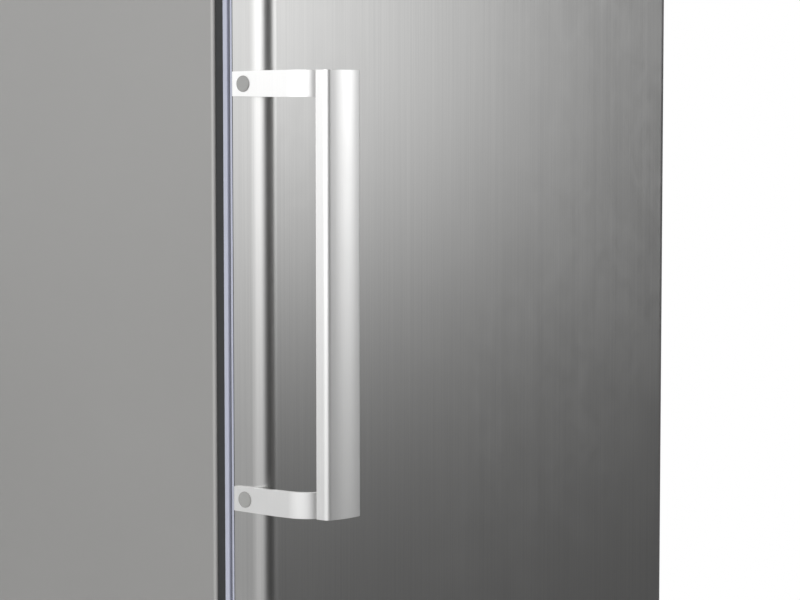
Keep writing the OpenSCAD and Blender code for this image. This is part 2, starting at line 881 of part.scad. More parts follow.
// Clips that hold the condenser off the rear panel, between two of its wires.
module condenser_brackets() {
    x = 10 * wire_pitch;
    color([0.85, 0.85, 0.83])
        for (s = [-1, 1], i = [2, condenser_runs - 3])
            translate([s * x, 0, run_z(i)])
                difference() {
                    union() {
                        block([-6, body_d - sheet_t, -9], [6, cond_y, 9]);
                        block([-6, body_d - sheet_t, -22], [6, body_d + 2, 22]);
                        rod_x(-6, 6, cond_y, 0, 9);
                    }
                    rod_x(-7, 7, cond_y, 0, tube_r + 0.05);
                }
}

// Stand-offs that keep the condenser clear of a wall behind the refrigerator.
module wall_spacers() {
    color(dark)
        both_sides()
            translate([half_w - 90, body_d - sheet_t, roof_z - 60])
                difference() {
                    union() {
                        block([-30, 0, -30], [30, 4, 30]);
                        block([-22, 0, -16], [22, spacer_d + sheet_t, 16]);
                    }
                    block([-18, 3, -12], [18, spacer_d + sheet_t - 4, 17]);
                }
}

// Drier with its capillary.
module filter_drier() {
    drier_z = niche_top - 52;
    color(copper) {
        difference() {
            union() {
                rod_z(drier_x, drier_y, drier_z - 90, drier_z - 14, 9);
                rod_z(drier_x, drier_y, drier_z - 14, drier_z - 8, 6);
                rod_z(drier_x, drier_y, drier_z - 98, drier_z - 90, 5);
            }
            rod_z(drier_x, drier_y, drier_z - 12, drier_z, tube_r + 0.05);
        }
        tube_path([[drier_x, drier_y, drier_z - 97], [drier_x, drier_y, drier_z - 118],
            [drier_x, niche_y + rear_t, drier_z - 118]], 1.2, 8);
    }
}

// Suction line from the insulation to the compressor.
module suction_line() {
    x1 = comp_x - comp_d / 2;
    color(copper)
        tube_path([[x1 + 1, comp_y, comp_mid + 18], [x1 - 22, comp_y, comp_mid + 18],
            [x1 - 22, comp_y, niche_top - rear_t]], 4, 12);
}

// Welded shell of the compressor, wider in its upper half, with the seam between.
module compressor_shell(r, z0, k) {
    translate([comp_x, comp_y, z0 - 0.5])
        rotate_extrude($fn = 96) {
            translate([0, 0])
                square([r - k, comp_h + 0.5]);
            translate([0, k])
                square([r - 1.5, comp_h / 2 - k + 0.5]);
            translate([0, comp_h / 2])
                square([r, comp_h / 2 - k]);
            translate([0, comp_h / 2 - 3])
                square([r + 4, 6]);
            translate([r - 1.5 - k, k])
                circle(r = k, $fn = 96);
            translate([r - k, comp_h - k + 0.5])
                circle(r = k, $fn = 96);
        }
}

// Hermetic compressor on its pressed base plate, with the ports of its two tubes.
module compressor() {
    r = comp_d / 2;
    z0 = plate_z + plate_t;
    color(dark) {
        difference() {
            compressor_shell(r, z0, 34);
            rod_y(comp_x + 30, comp_y + port_y - 0.1, comp_y + r + 8, comp_mid - 12, tube_r + 0.05);
            rod_x(comp_x - r - 8, comp_x - r + 1.1, comp_y, comp_mid + 18, 4.05);
        }
        difference() {
            translate([comp_x, comp_y, 0]) {
                block([-plate_x, -plate_y + 12, plate_z], [plate_x, plate_y - 12, z0]);
                block([-plate_x + 12, -plate_y, plate_z], [plate_x - 12, plate_y, z0]);
                for (x = [-plate_x + 12, plate_x - 12], y = [-plate_y + 12, plate_y - 12])
                    rod_z(x, y, plate_z, z0, 12);
            }
            grommet_places()
                rod_z(0, 0, plate_z - 1, z0 + 1, stud_r + 4.1);
        }
    }
}

module grommet_places() {
    for (x = [-stud_x, stud_x], y = [-stud_y, stud_y])
        translate([comp_x + x, comp_y + y, 0])
            children();
}

// Rubber mounts under the compressor's plate.
module compressor_grommets() {
    color([0.1, 0.1, 0.1])
        grommet_places()
            difference() {
                union() {
                    rod_z(0, 0, pan_top, plate_z, 11);
                    rod_z(0, 0, plate_z, plate_z + plate_t + 1, stud_r + 4);
                    rod_z(0, 0, plate_z + plate_t, plate_z + plate_t + 4, stud_r + 6);
                }
                rod_z(0, 0, pan_top - 1, plate_z + plate_t + 5, stud_r + 0.5);
            }
}

// Relay and terminal box on the side of the shell, with the gland of the mains lead.
module terminal_box() {
    x1 = comp_x + comp_d / 2;
    color([0.12, 0.12, 0.13]) {
        difference() {
            block([x1 - 22, comp_y - 34, comp_mid - 40], [x1 + 30, comp_y + 34, comp_mid + 36]);
            rod_z(comp_x, comp_y, comp_mid - 52, comp_mid + 48, comp_d / 2 + 4.1, $fn = 96);
        }
        rod_z(x1 + 18, comp_y, comp_mid - 48, comp_mid - 39.5, 7);
    }
}

// Tray that dries the defrost water on the warm compressor.
module drip_tray() {
    color([0.2, 0.2, 0.21])
        difference() {
            block([comp_x - 62, comp_y - 46, tray_z], [comp_x + 62, comp_y + 46, tray_z + 22]);
            block([comp_x - 60, comp_y - 44, tray_z + 2], [comp_x + 60, comp_y + 44, tray_z + 23]);
        }
}

module drain_tube() {
    color([0.75, 0.76, 0.78])
        difference() {
            rod_z(drain_x, drain_y, tray_z + 10, hump_top - liner_t, drain_r - 0.1);
            rod_z(drain_x, drain_y, tray_z, hump_top, drain_r - 2);
        }
}

// Places of the screws through the upper and lower hinge plates.
module upper_hinge_screws(grow) {
    for (p = [[hinge_x - 34, 20], [hinge_x, 20], [hinge_x - 17, 60]])
        rod_z(p[0], p[1], cab_h - 14, cab_h + hinge_t + 0.1, 2.5 + grow);
}
module lower_hinge_screws(grow) {
    for (x = [hinge_x - 42, hinge_x - 24])
        rod_y(x, -hinge_t - 0.1, 16, 46, 2.5 + grow);
}

// Upper hinge: plate on the top panel, with the pin that enters the door from above.
module upper_hinge() {
    color([0.6, 0.6, 0.62]) {
        difference() {
            union() {
                block([hinge_x - 46, 8, cab_h], [hinge_x + 10, 76, cab_h + hinge_t]);
                block([hinge_x - 12, hinge_y, cab_h], [hinge_x + 10, 20, cab_h + hinge_t]);
                rod_z(hinge_x - 1, hinge_y, cab_h, cab_h + hinge_t, 11);
            }
            upper_hinge_screws(0);
        }
        rod_z(hinge_x, hinge_y, door_top - pin_depth, cab_h + 1, pin_r);
    }
}

// Plastic cap over the upper hinge.
module hinge_cover() {
    z1 = cab_h + cover_h;
    color(dark)
        difference() {
            union() {
                block([hinge_x - 50, 4, cab_h], [hinge_x + 12, 80, z1]);
                block([hinge_x - 15, hinge_y - 2, cab_h], [hinge_x + 12, 10, z1]);
                rod_z(hinge_x - 1.5, hinge_y - 0.5, cab_h, z1, 13.5);
            }
            block([hinge_x - 46.5, 7.5, cab_h - 1], [hinge_x + 10.3, 76.5, z1 - 2]);
            block([hinge_x - 12.4, hinge_y, cab_h - 1], [hinge_x + 10.3, 20, z1 - 2]);
            rod_z(hinge_x - 1, hinge_y, cab_h - 1, z1 - 2, 11.3);
        }
}

// Lower hinge: angle on the front rail, with the pin that carries the door.
module lower_hinge() {
    color([0.6, 0.6, 0.62]) {
        difference() {
            union() {
                block([hinge_x - 50, -hinge_t, pan_z], [hinge_x - 8, 0, door_z]);
                block([hinge_x - 50, -hinge_t - 0.5, pan_z], [hinge_x + 10, 0, pan_z + hinge_t]);
                block([hinge_x - 14, hinge_y, plate_low], [hinge_x + 10, -hinge_t, plate_low + hinge_t]);
                block([hinge_x - 14, -2 * hinge_t, plate_low], [hinge_x - 8, 0, plate_low + hinge_t]);
                rod_z(hinge_x - 2, hinge_y, plate_low, plate_low + hinge_t, 12);
            }
            lower_hinge_screws(0);
        }
        rod_z(hinge_x, hinge_y, plate_low, door_z + pin_depth, pin_r);
    }
}

// Screws of the hinges and studs of the compressor's mounts.
module cabinet_screws() {
    color([0.75, 0.75, 0.76]) {
        for (p = [[hinge_x - 34, 20], [hinge_x, 20], [hinge_x - 17, 60]]) {
            rod_z(p[0], p[1], cab_h - 13, cab_h + hinge_t, 2.45);
            rod_z(p[0], p[1], cab_h + hinge_t, cab_h + hinge_t + 2.4, 4.5);
        }
        for (x = [hinge_x - 42, hinge_x - 24]) {
            rod_y(x, -hinge_t, 15, 46, 2.45);
            rod_y(x, -hinge_t - 2.4, -hinge_t, 46, 4.5);
        }
        grommet_places() {
            rod_z(0, 0, pan_z - 2, plate_z + plate_t + 5, stud_r);
            rod_z(0, 0, plate_z + plate_t + 4, plate_z + plate_t + 8, stud_r + 4, $fn = 24);
            rod_z(0, 0, pan_z - 3, pan_z, stud_r + 4);
        }
    }
}

module roller() {
    color([0.1, 0.1, 0.1])
        difference() {
            union() {
                rod_x(roller_x - roller_w / 2, roller_x + roller_w / 2, roller_y, roller_r, roller_r - 1);
                rod_x(roller_x - roller_w / 2 + 1, roller_x + roller_w / 2 - 1,
                    roller_y, roller_r, roller_r, $fn = 96);
            }
            rod_x(roller_x - roller_w, roller_x + roller_w, roller_y, roller_r, axle_r + run_gap);
        }
}
module roller_right() {
    roller();
}
module roller_left() {
    mirror([1, 0, 0])
        roller();
}

// Levelling foot: pad, ringed shank and plain end in the pan's boss.
module foot() {
    color([0.15, 0.15, 0.16])
        translate([foot_x, foot_y, 0]) {
            cylinder(r = foot_pad_r - 1.5, h = 7);
            translate([0, 0, 1.5])
                cylinder(r = foot_pad_r, h = 4);
            cylinder(r = 9, h = 10, $fn = 6 * 8);
            cylinder(r = foot_r - 0.7, h = pan_z - boss_h + 1);
            for (z = [10.5 : 2 : pan_z - boss_h - 2])
                translate([0, 0, z])
                    cylinder(r = foot_r, h = 1);
            translate([0, 0, pan_z - boss_h - 0.5])
                cylinder(r = foot_r, h = boss_h + pan_t - 0.5);
        }
}
module foot_right() {
    foot();
}
module foot_left() {
    mirror([1, 0, 0])
        foot();
}

// Door in plan, all faces moved in by t, and its rear face at y.
module door_outline(t, y) {
    r = corner_r - t;
    translate([-half_w + corner_r, door_front + t])
        square([cab_w - 2 * corner_r, y - door_front - t]);
    translate([-half_w + t, door_front + corner_r])
        square([cab_w - 2 * t, y - door_front - corner_r]);
    for (x = [-half_w + corner_r, half_w - corner_r])
        translate([x, door_front + corner_r])
            circle(r = r, $fn = 96);
}

// Holes of the screws that hold the handle to the door's left side.
module handle_places() {
    for (s = [-1, 1])
        translate([-half_w, cap_y, handle_z + s * hole_pitch / 2])
            children();
}

// Steel skin: front and two sides in one sheet, with rounded corners.
module door_skin() {
    color(brushed)
        difference() {
            along_z(skin_z0, skin_z1 - skin_z0)
                door_outline(0, skin_rear);
            along_z(skin_z0 - 1, skin_z1 - skin_z0 + 2)
                door_outline(skin_t, skin_rear + 1);
            handle_places()
                rod_x(-1, skin_t + 1, 0, 0, screw_r + 0.1);
        }
}

// Foam of the door: a slab out to the skin, the end caps, the frame and the inner liner,
// and in the liner's ridge two uprights with a rail at the top and at the bottom.
module door_foam() {
    r_in = half_w - frame_w;
    bar_y = [door_rear - liner_t + foam_seam, door_rear + ridge_d - liner_t];
    bar_w = ridge_w - 2 * liner_t;
    color([0.9, 0.84, 0.62])
        difference() {
            union() {
                along_z(skin_z0 + plug_t, skin_z1 - skin_z0 - 2 * plug_t)
                    door_outline(skin_t, skin_rear);
                along_z(skin_z0 + 2, skin_z1 - skin_z0 - 4)
                    door_outline(skin_t + 3, skin_rear - 3);
                block([-r_in, skin_rear - 0.5, door_z + lip_t + plug_t + 0.2],
                    [r_in, door_rear - liner_t, door_top - lip_t - plug_t - 0.2]);
            }
            handle_places()
                block([0, plate_y0 - 0.3, -18.3], [skin_t + plate_in, 12.3, 18.3]);
            handle_places()
                rod_x(0, screw_len + 1, 0, 0, screw_r + 0.1);
            rod_z(hinge_x, hinge_y, door_z, door_z + bush_depth + 1, bush_r + 0.1);
            rod_z(hinge_x, hinge_y, door_top - bush_depth - 1, door_top, bush_r + 0.1);
        }
    color([0.9, 0.84, 0.62]) {
        both_sides()
            block([ridge_in + liner_t, bar_y[0], ridge_z0 + liner_t],
                [ridge_x - liner_t, bar_y[1], ridge_z1 - liner_t]);
        for (z = [ridge_z0 + liner_t, ridge_z1 - liner_t - bar_w])
            block([-ridge_in - liner_t + foam_seam, bar_y[0], z],
                [ridge_in + liner_t - foam_seam, bar_y[1], z + bar_w]);
    }
}

// Grooved plastic frame that shows between the steel and the gasket.
module door_frame() {
    y0 = skin_rear;
    y1 = skin_rear + ridge_front;
    y2 = y1 + groove_w;
    y3 = door_rear;
    r = 1;
    module side_rib(ya, yb) {
        translate([half_w - 4, ya])
            square([4 - r, yb - ya]);
        translate([half_w - 4, ya + r])
            square([4, yb - ya - 2 * r]);
        for (y = [ya + r, yb - r])
            translate([half_w - r, y])
                circle(r = r, $fn = 24);
    }
    color([0.8, 0.82, 0.88]) {
        ring(half_w - groove_d, frame_w - groove_d, y0, y3, door_z + groove_d, door_top - groove_d);
        both_sides()
            along_z(door_z, door_top - door_z) {
                side_rib(y0, y1);
                side_rib(y2, y3);
            }
        for (z = [door_z, door_top - groove_d - 1], y = [[y0, y1], [y2, y3]])
            block([-half_w + 3, y[0], z], [half_w - 3, y[1], z + groove_d + 1]);
    }
}

// Inner liner of the door, with the hollow ridge that carries the bins.
module door_liner() {
    r_in = half_w - frame_w;
    color(white) {
        difference() {
            union() {
                block([-r_in, door_rear - liner_t, door_z + frame_w],
                    [r_in, door_rear, door_top - frame_w]);
                ring(ridge_x, ridge_w, door_rear - 0.5, door_rear + ridge_d, ridge_z0, ridge_z1);
            }
            ring(ridge_x - liner_t, ridge_w - 2 * liner_t, door_rear - liner_t - 1,
                door_rear + ridge_d - liner_t, ridge_z0 + liner_t, ridge_z1 - liner_t);
        }
        for (z = [bottle_z, middle_z, upper_z, dairy_z])
            both_sides()
                block([ridge_in - lug_p, lug_y, z + lug_z], [ridge_in + 0.5, lug_y + lug_d, z + lug_z + lug_h]);
    }
}

// Magnetic gasket: a bellows with an outer lip, cut back beside the hinge.
module door_gasket() {
    x1 = half_w - lip_set;
    inner = half_w - gasket_w - 12;
    y1 = -0.3;
    color([0.3, 0.31, 0.33])
        difference() {
            block([-x1, door_rear, door_z + lip_set], [x1, y1, door_top - lip_set]);
            block([-inner, door_rear - 1, gasket_z0 + gasket_w],
                [inner, 1, gasket_z1 - gasket_w]);
            block([hinge_x - 2, -2.2, 0], [half_w, 1, cab_h]);
            block([-x1 - 1, -2.2, 0], [x1 + 1, 1, gasket_z0]);
        }
}

// Plastic end of the door: visible lip, and a plug inside the skin.
module door_cap(z0, dir) {
    difference() {
        union() {
            along_z(dir > 0 ? z0 : z0 - lip_t, lip_t)
                door_outline(0, skin_rear);
            along_z(dir > 0 ? z0 + lip_t - 0.5 : z0 - lip_t - plug_t, plug_t + 0.5)
                difference() {
                    door_outline(skin_t, skin_rear);
                    door_outline(skin_t + 3, skin_rear - 3);
                }
        }
        rod_z(hinge_x, hinge_y, z0 - 40, z0 + 40, bush_r + 0.02);
    }
}
module door_cap_bottom() {
    color(dark)
        door_cap(door_z, 1);
}
module door_cap_top() {
    color(dark)
        door_cap(door_top, -1);
}

// Bushes in the two end caps, the lower one with the flange that rests on the hinge.
module hinge_bushes() {
    color([0.9, 0.9, 0.88]) {
        difference() {
            union() {
                rod_z(hinge_x, hinge_y, door_z, door_z + bush_depth, bush_r);
                rod_z(hinge_x, hinge_y, plate_low + hinge_t + 0.1, door_z, bush_r + 3);
            }
            rod_z(hinge_x, hinge_y, 0, door_z + pin_depth + 0.6, pin_r + run_gap);
        }
        difference() {
            union() {
                rod_z(hinge_x, hinge_y, door_top - bush_depth, door_top, bush_r);
                rod_z(hinge_x, hinge_y, door_top, door_top + 3, bush_r + 3);
            }
            rod_z(hinge_x, hinge_y, door_top - pin_depth - 0.6, cab_h, pin_r + run_gap);
        }
    }
}

// Turns a plan drawing, right of the door's left side and forward of its front, into place.
module in_plan(z, h) {
    translate([-half_w, door_front, z])
        mirror([0, 1, 0])
            linear_extrude(height = h)
                children();
}

// Crowned outline of the bar, moved in by t and open to the right by more.
module bar_outline(t, right, low) {
    ey = bar_edge_a - bar_axis_a;
    ex = bar_crown_b - bar_edge_b;
    translate([bar_edge_b, bar_edge_a])
        circle(r = bar_edge_r - t, $fn = 96);
    translate([bar_left + t, low])
        square([bar_edge_r + 4 - t, bar_edge_a - low]);
    intersection() {
        translate([bar_crown_b, bar_axis_a])
            circle(r = bar_crown_r - t, $fn = 360);
        polygon([[bar_crown_b, bar_axis_a], [bar_crown_b - 2 * ex, bar_axis_a + 2 * ey],
            [right, bar_axis_a + 2 * ey], [right, bar_axis_a]]);
        translate([0, low])
            square([right, bar_crown_r]);
    }
}

// Bar: extruded crowned shell with a lip on the left and a rib that takes the screws.
module handle_bar() {
    right = bar_left + bar_w - bar_t / 2;
    end_a = bar_axis_a + sqrt(pow(bar_crown_r - bar_t / 2, 2) - pow(right - bar_crown_b, 2));
    z0 = handle_z - bar_len / 2;
    color(silver) {
        in_plan(z0, bar_len) {
            difference() {
                bar_outline(0, right, bar_lip_a);
                bar_outline(bar_t, right + 9, bar_lip_a - 1);
            }
            translate([right, end_a])
                circle(r = bar_t / 2, $fn = 48);
        }
        difference() {
            in_plan(z0, bar_len)
                intersection() {
                    translate([rib_b, tab_reach])
                        square([rib_w, 20]);
                    translate([bar_crown_b, bar_axis_a])
                        circle(r = bar_crown_r - bar_t / 2, $fn = 360);
                }
            tab_screw_places()
                rod_y(0, -9, 1, 0, tab_screw_r + 0.05);
        }
    }
}

// Places of the screws from behind the tabs, at the tab's front face.
module tab_screw_places() {
    for (s = [-1, 1])
        translate([-half_w + rib_b + rib_w / 2, door_front - tab_reach,
            handle_z + s * hole_pitch / 2])
            children();
}

// Bent strap, slightly higher towards the bar.
module handle_strap(zc) {
    hr = strap_h_rear / 2;
    hf = strap_h_front / 2;
    ri = strap_bend_r - strap_t;
    rear_a = door_front - strap_end_y;
    color(silver)
        difference() {
            intersection() {
                in_plan(zc - hf, strap_h_front) {
                    translate([-strap_t, rear_a])
                        square([strap_t, bend_a - rear_a]);
                    translate([ri, bend_a])
                        sector_band(strap_bend_r, strap_t, 90, 180);
                    translate([ri, tab_reach - strap_t])
                        square([tab_end - ri, strap_t]);
                }
                along_x(-half_w - 10, 80)
                    polygon([[strap_end_y, zc - hr], [strap_end_y, zc + hr],
                        [door_front - 10, zc + hf], [door_front - 80, zc + hf],
                        [door_front - 80, zc - hf], [door_front - 10, zc - hf]]);
            }
            translate([-half_w, cap_y, zc])
                rod_x(-strap_t - 1, 1, 0, 0, screw_r + 0.1);
            translate([-half_w, cap_y, zc])
                rod_x(-strap_t - 1, -strap_t + cap_in + head_h, 0, 0, cap_d / 2 + 0.05);
            tab_screw_places()
                rod_y(0, -1, strap_t + 1, 0, tab_screw_r + 0.1);
        }
}
module handle_strap_top() {
    handle_strap(handle_z + hole_pitch / 2);
}
module handle_strap_bottom() {
    handle_strap(handle_z - hole_pitch / 2);
}

// Round caps over the screws.
module handle_caps() {
    color([0.63, 0.63, 0.62])
        handle_places()
            difference() {
                union() {
                    rod_x(-strap_t - cap_proud + 0.3, -strap_t + cap_in, 0, 0, cap_d / 2);
                    rod_x(-strap_t - cap_proud, -strap_t + cap_in, 0, 0, cap_d / 2 - 0.5);
                }
            }
}

// Screws of the handle, with the nut plates behind the skin.
module handle_screws() {
    color([0.7, 0.7, 0.72]) {
        handle_places() {
            rod_x(-strap_t + cap_in + 0.02, -strap_t + cap_in + head_h, 0, 0, 4.4);
            rod_x(-strap_t + cap_in + 0.5, screw_len, 0, 0, screw_r);
            difference() {
                block([skin_t, plate_y0, -18], [skin_t + plate_in, 12, 18]);
                rod_x(0, 10, 0, 0, screw_r - 0.3);
            }
        }
        tab_screw_places() {
            rod_y(0, strap_t, strap_t + 2.2, 0, 4);
            rod_y(0, -8, strap_t + 1, 0, tab_screw_r);
        }
    }
}

// Rectangle with round corners, g inside the outline of half width x from y0 to y1.
module tub_plan(x, y0, y1, r, g) {
    translate([-x + r, y0 + g])
        square([2 * x - 2 * r, y1 - y0 - 2 * g]);
    translate([-x + g, y0 + r])
        square([2 * x - 2 * g, y1 - y0 - 2 * r]);
    for (px = [-x + r, x - r], py = [y0 + r, y1 - r])
        translate([px, py])
            circle(r = r - g, $fn = 48);
}

// Open box with rounded upright edges: half width x, from y0 to y1 and z0 to z1.
module tub(x, y0, y1, z0, z1, t, r) {
    difference() {
        along_z(z0, z1 - z0)
            tub_plan(x, y0, y1, r, 0);
        along_z(z0 + t, z1 - z0)
            tub_plan(x, y0, y1, r, t);
    }
}

// Hooks on both ends of a bin, over the lugs of the door liner.
module bin_hooks(z) {
    top = z + lug_z + lug_h;
    both_sides()
        difference() {
            block([bin_x - 0.8, lug_y - 4, z + 6], [ridge_in - 0.4, lug_y + lug_d + 4, top + 4.3]);
            block([ridge_in - lug_p - 0.4, lug_y - 0.3, z], [half_w, lug_y + lug_d + 0.3, top + 0.3]);
        }
}

module door_bin(z, h) {
    y1 = bin_y0 + bin_d;
    tub(bin_x, bin_y0, y1, z, z + h, bin_t, 12);
    difference() {
        along_z(z + h - 5, 5)
            tub_plan(bin_x + 1.2, bin_y0 - 0.3, y1 + 1.2, 13.2, 0);
        along_z(z + h - 6, 7)
            tub_plan(bin_x, bin_y0, y1, 12, 1.2);
    }
    bin_hooks(z);
}

module bin_bottle() {
    color(clear)
        door_bin(bottle_z, bottle_h);
}
module bin_middle() {
    color(clear)
        door_bin(middle_z, middle_h);
}
module bin_upper() {
    color(clear)
        door_bin(upper_z, upper_h);
}

// Dairy bin: high ends with the bores of the lid's pins, low front.
module bin_dairy() {
    y1 = bin_y0 + bin_d;
    color(clear)
        difference() {
            union() {
                tub(bin_x, bin_y0, y1, dairy_z, dairy_z + dairy_front_h, bin_t, 3);
                block([-bin_x, bin_y0, dairy_z + 5], [bin_x, bin_y0 + bin_t, dairy_z + dairy_h - 20]);
                both_sides()
                    block([bin_x - bin_t, bin_y0, dairy_z + 5], [bin_x, y1, dairy_z + dairy_h]);
                bin_hooks(dairy_z);
            }
            rod_x(-half_w, half_w, lid_y, lid_z, lid_pin_r + run_gap);
        }
}

// Lid of the dairy bin: top and front in one piece, on two pins.
module dairy_lid() {
    y1 = bin_y0 + bin_d;
    x1 = bin_x - bin_t - 0.3;
    r = 14;
    color(clear) {
        difference() {
            union() {
                block([-x1, lid_y, lid_z - 1.2], [x1, y1 - r, lid_z + 1.2]);
                block([-x1, y1 - 2.4, dairy_z + dairy_front_h + 0.3], [x1, y1, lid_z + 1.2 - r]);
                rod_x(-x1, x1, lid_y, lid_z, 3.2);
                intersection() {
                    difference() {
                        rod_x(-x1, x1, y1 - r, lid_z + 1.2 - r, r);
                        rod_x(-x1 - 1, x1 + 1, y1 - r, lid_z + 1.2 - r, r - 2.4);
                    }
                    block([-x1, y1 - r, lid_z + 1.2 - r], [x1, y1, lid_z + 2]);
                }
                rod_x(-60, 60, y1 - 0.6, dairy_z + dairy_front_h + 6, 3);
            }
        }
        rod_x(-bin_x, bin_x, lid_y, lid_z, lid_pin_r);
    }
}

// Drawer tub with a grip lip along the top of its front.
module drawer(y1, z0, z1) {
    color(clear) {
        tub(drawer_x, drawer_front, y1, z0, z1, bin_t, 12);
        difference() {
            union() {
                block([-drawer_x + 14, drawer_front - 7, z1 - 4], [drawer_x - 14, drawer_front + 1, z1]);
                block([-drawer_x + 14, drawer_front - 7, z1 - 20], [drawer_x - 14, drawer_front - 5, z1]);
            }
        }
    }
}
module fresh_drawer() {
    drawer(shelf_rear, fresh_z0, fresh_z1);
}
module crisper_drawer() {
    difference() {
        drawer(hump_y - 6, floor_z + 0.4, crisper_top);
        color(clear)
            block([-slider_travel - 4.5, drawer_front - 1, slider_z - 3],
                [slider_travel + 4.5, drawer_front + bin_t + 1, slider_z + 3]);
    }
}

// Slider that opens the crisper's vent: grip, stem through the slot and retaining plate.
module humidity_slider() {
    color([0.35, 0.6, 0.42]) {
        block([-12, drawer_front - 4.3, slider_z - 8], [12, drawer_front - 0.3, slider_z + 8]);
        block([-4, drawer_front - 1, slider_z - 2.7], [4, drawer_front + bin_t + 1, slider_z + 2.7]);
        block([-10, drawer_front + bin_t + 0.3, slider_z - 8],
            [10, drawer_front + bin_t + 1.8, slider_z + 8]);
    }
}

module placed() {
    translate([-mid_x, -mid_y, 0])
        children();
}

placed() side_panel_left();
placed() side_panel_right();
placed() top_panel();
placed() rear_panel();
placed() insulation_foam();
placed() inner_liner();
placed() base_pan();
placed() plinth();
placed() shelf_glass();
placed() crisper_cover();
placed() shelf_trims();
placed() bottle_rack();
placed() air_duct();
placed() fan_motor();
placed() fan_rotor();
placed() evaporator();
placed() control_housing();
placed() light_lens();
placed() led_board();
placed() thermostat_knob();
placed() condenser_tube();
placed() condenser_wires();
placed() condenser_brackets();
placed() wall_spacers();
placed() filter_drier();
placed() suction_line();
placed() compressor();
placed() compressor_grommets();
placed() terminal_box();
placed() drip_tray();
placed() drain_tube();
placed() upper_hinge();
placed() hinge_cover();
placed() lower_hinge();
placed() cabinet_screws();
placed() roller_left();
placed() roller_right();
placed() foot_left();
placed() foot_right();
placed() door_skin();
placed() door_foam();
placed() door_frame();
placed() door_liner();
placed() door_gasket();
placed() door_cap_top();
placed() door_cap_bottom();
placed() hinge_bushes();
placed() handle_bar();
placed() handle_strap_top();
placed() handle_strap_bottom();
placed() handle_caps();
placed() handle_screws();
placed() bin_dairy();
placed() dairy_lid();
placed() bin_upper();
placed() bin_middle();
placed() bin_bottle();
placed() fresh_drawer();
placed() crisper_drawer();
placed() humidity_slider();
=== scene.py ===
# %% [markdown]
# # A freestanding refrigerator with a brushed steel door
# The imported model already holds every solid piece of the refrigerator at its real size,
# in metres, with the floor at Z = 0 and the front of the door towards -Y.
# This lesson gives those pieces their finishes, adds two small parts, and lights them.
# Loading comes first, because each later step asks the frame where a piece is.

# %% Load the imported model
import json
import math

import bmesh
import bpy
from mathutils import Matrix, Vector


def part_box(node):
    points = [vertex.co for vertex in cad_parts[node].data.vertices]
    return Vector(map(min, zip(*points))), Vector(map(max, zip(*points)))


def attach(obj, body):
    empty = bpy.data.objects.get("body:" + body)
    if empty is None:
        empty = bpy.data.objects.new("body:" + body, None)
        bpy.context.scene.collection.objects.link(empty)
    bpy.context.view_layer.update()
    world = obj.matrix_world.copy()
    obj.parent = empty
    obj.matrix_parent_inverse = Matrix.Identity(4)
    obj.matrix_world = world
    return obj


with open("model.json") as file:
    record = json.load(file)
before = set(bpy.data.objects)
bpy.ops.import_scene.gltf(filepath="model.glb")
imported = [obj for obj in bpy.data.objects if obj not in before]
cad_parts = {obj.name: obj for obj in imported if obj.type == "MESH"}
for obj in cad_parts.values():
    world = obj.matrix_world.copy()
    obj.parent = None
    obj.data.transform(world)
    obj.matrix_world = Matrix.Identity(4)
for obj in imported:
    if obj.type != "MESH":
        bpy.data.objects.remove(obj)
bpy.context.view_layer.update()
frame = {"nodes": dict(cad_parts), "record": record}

# %% [markdown]
# ## The camera
# The photograph looks at the left front corner from a little above the handle's middle,
# with a long lens, and its upright lines are parallel.
# A large lens shift would copy that, but it would push the refrigerator out of the
# other views, so a longer lens from further back comes close without one.
# Its place was fitted to points whose distances the model gives: the two handle
# mounts, the straps, the door's edges and the cabinet's front edge.

# %% Camera at the photograph's viewing angle
camera_place = (-1.7486, -1.5182, 1.1972)
tilt_below_level = 4.22
turn_to_the_right = 53.01
handle_middle = Vector((0, -0.3, 1.0))

lens = bpy.data.cameras.new("portrait_lens")
lens.lens = 112.0
lens.sensor_width = 36.0
camera = bpy.data.objects.new("photo_camera", lens)
camera.location = camera_place
camera.rotation_euler = (math.radians(90 - tilt_below_level), 0.0, math.radians(-turn_to_the_right))
bpy.context.scene.collection.objects.link(camera)
bpy.context.scene.camera = camera
print("camera is", round((camera.location - handle_middle).length, 2), "m from the handle")

# %% [markdown]
# ## Small helpers for shader nodes
# A material is a tree of nodes, and wiring it by hand takes many repeated lines.
# One helper gives a socket its input, a plain value or another node's output, and one
# adds a node with all its inputs, so each later line reads like a sentence.
# They hide nothing that Blender's own node editor wouldn't show.

# %% Helpers that add and join nodes
def feed(tree, source, socket):
    """Gives a socket its input: the output of another node, or a plain value."""
    if isinstance(source, bpy.types.NodeSocket):
        tree.links.new(source, socket)
    else:
        socket.default_value = source


def add(tree, kind, inputs=None, **settings):
    """A new node, with a value or another node's output for each input, and its settings."""
    node = tree.nodes.new("ShaderNode" + kind)
    for key, value in settings.items():
        setattr(node, key, value)
    for key, source in (inputs or {}).items():
        feed(tree, source, node.inputs[key])
    return node


def compute(tree, operation, first, second=0.5, use_clamp=False):
    """The result of a Math node."""
    inputs = {0: first, 1: second}
    return add(tree, "Math", inputs, operation=operation, use_clamp=use_clamp).outputs[0]


def stretch(tree, source, low, high, **settings):
    """Spreads the span from low to high over 0 to 1."""
    inputs = {"Value": source, "From Min": low, "From Max": high}
    return add(tree, "MapRange", inputs, **settings).outputs[0]


def between(tree, mask, low, high):
    """A number that goes from low to high with a mask."""
    return add(tree, "MapRange", {"Value": mask, "To Min": low, "To Max": high}).outputs[0]


def mix_colours(tree, mask, first, second):
    """A colour that goes from the first to the second with a mask."""
    mix = add(tree, "Mix", data_type="RGBA")
    # A Mix node has a set of sockets for each kind of data. 6, 7 and 2 are the colours'.
    for source, index in ((mask, 0), (first, 6), (second, 7)):
        feed(tree, source, mix.inputs[index])
    return mix.outputs[2]


print("node helpers ready")

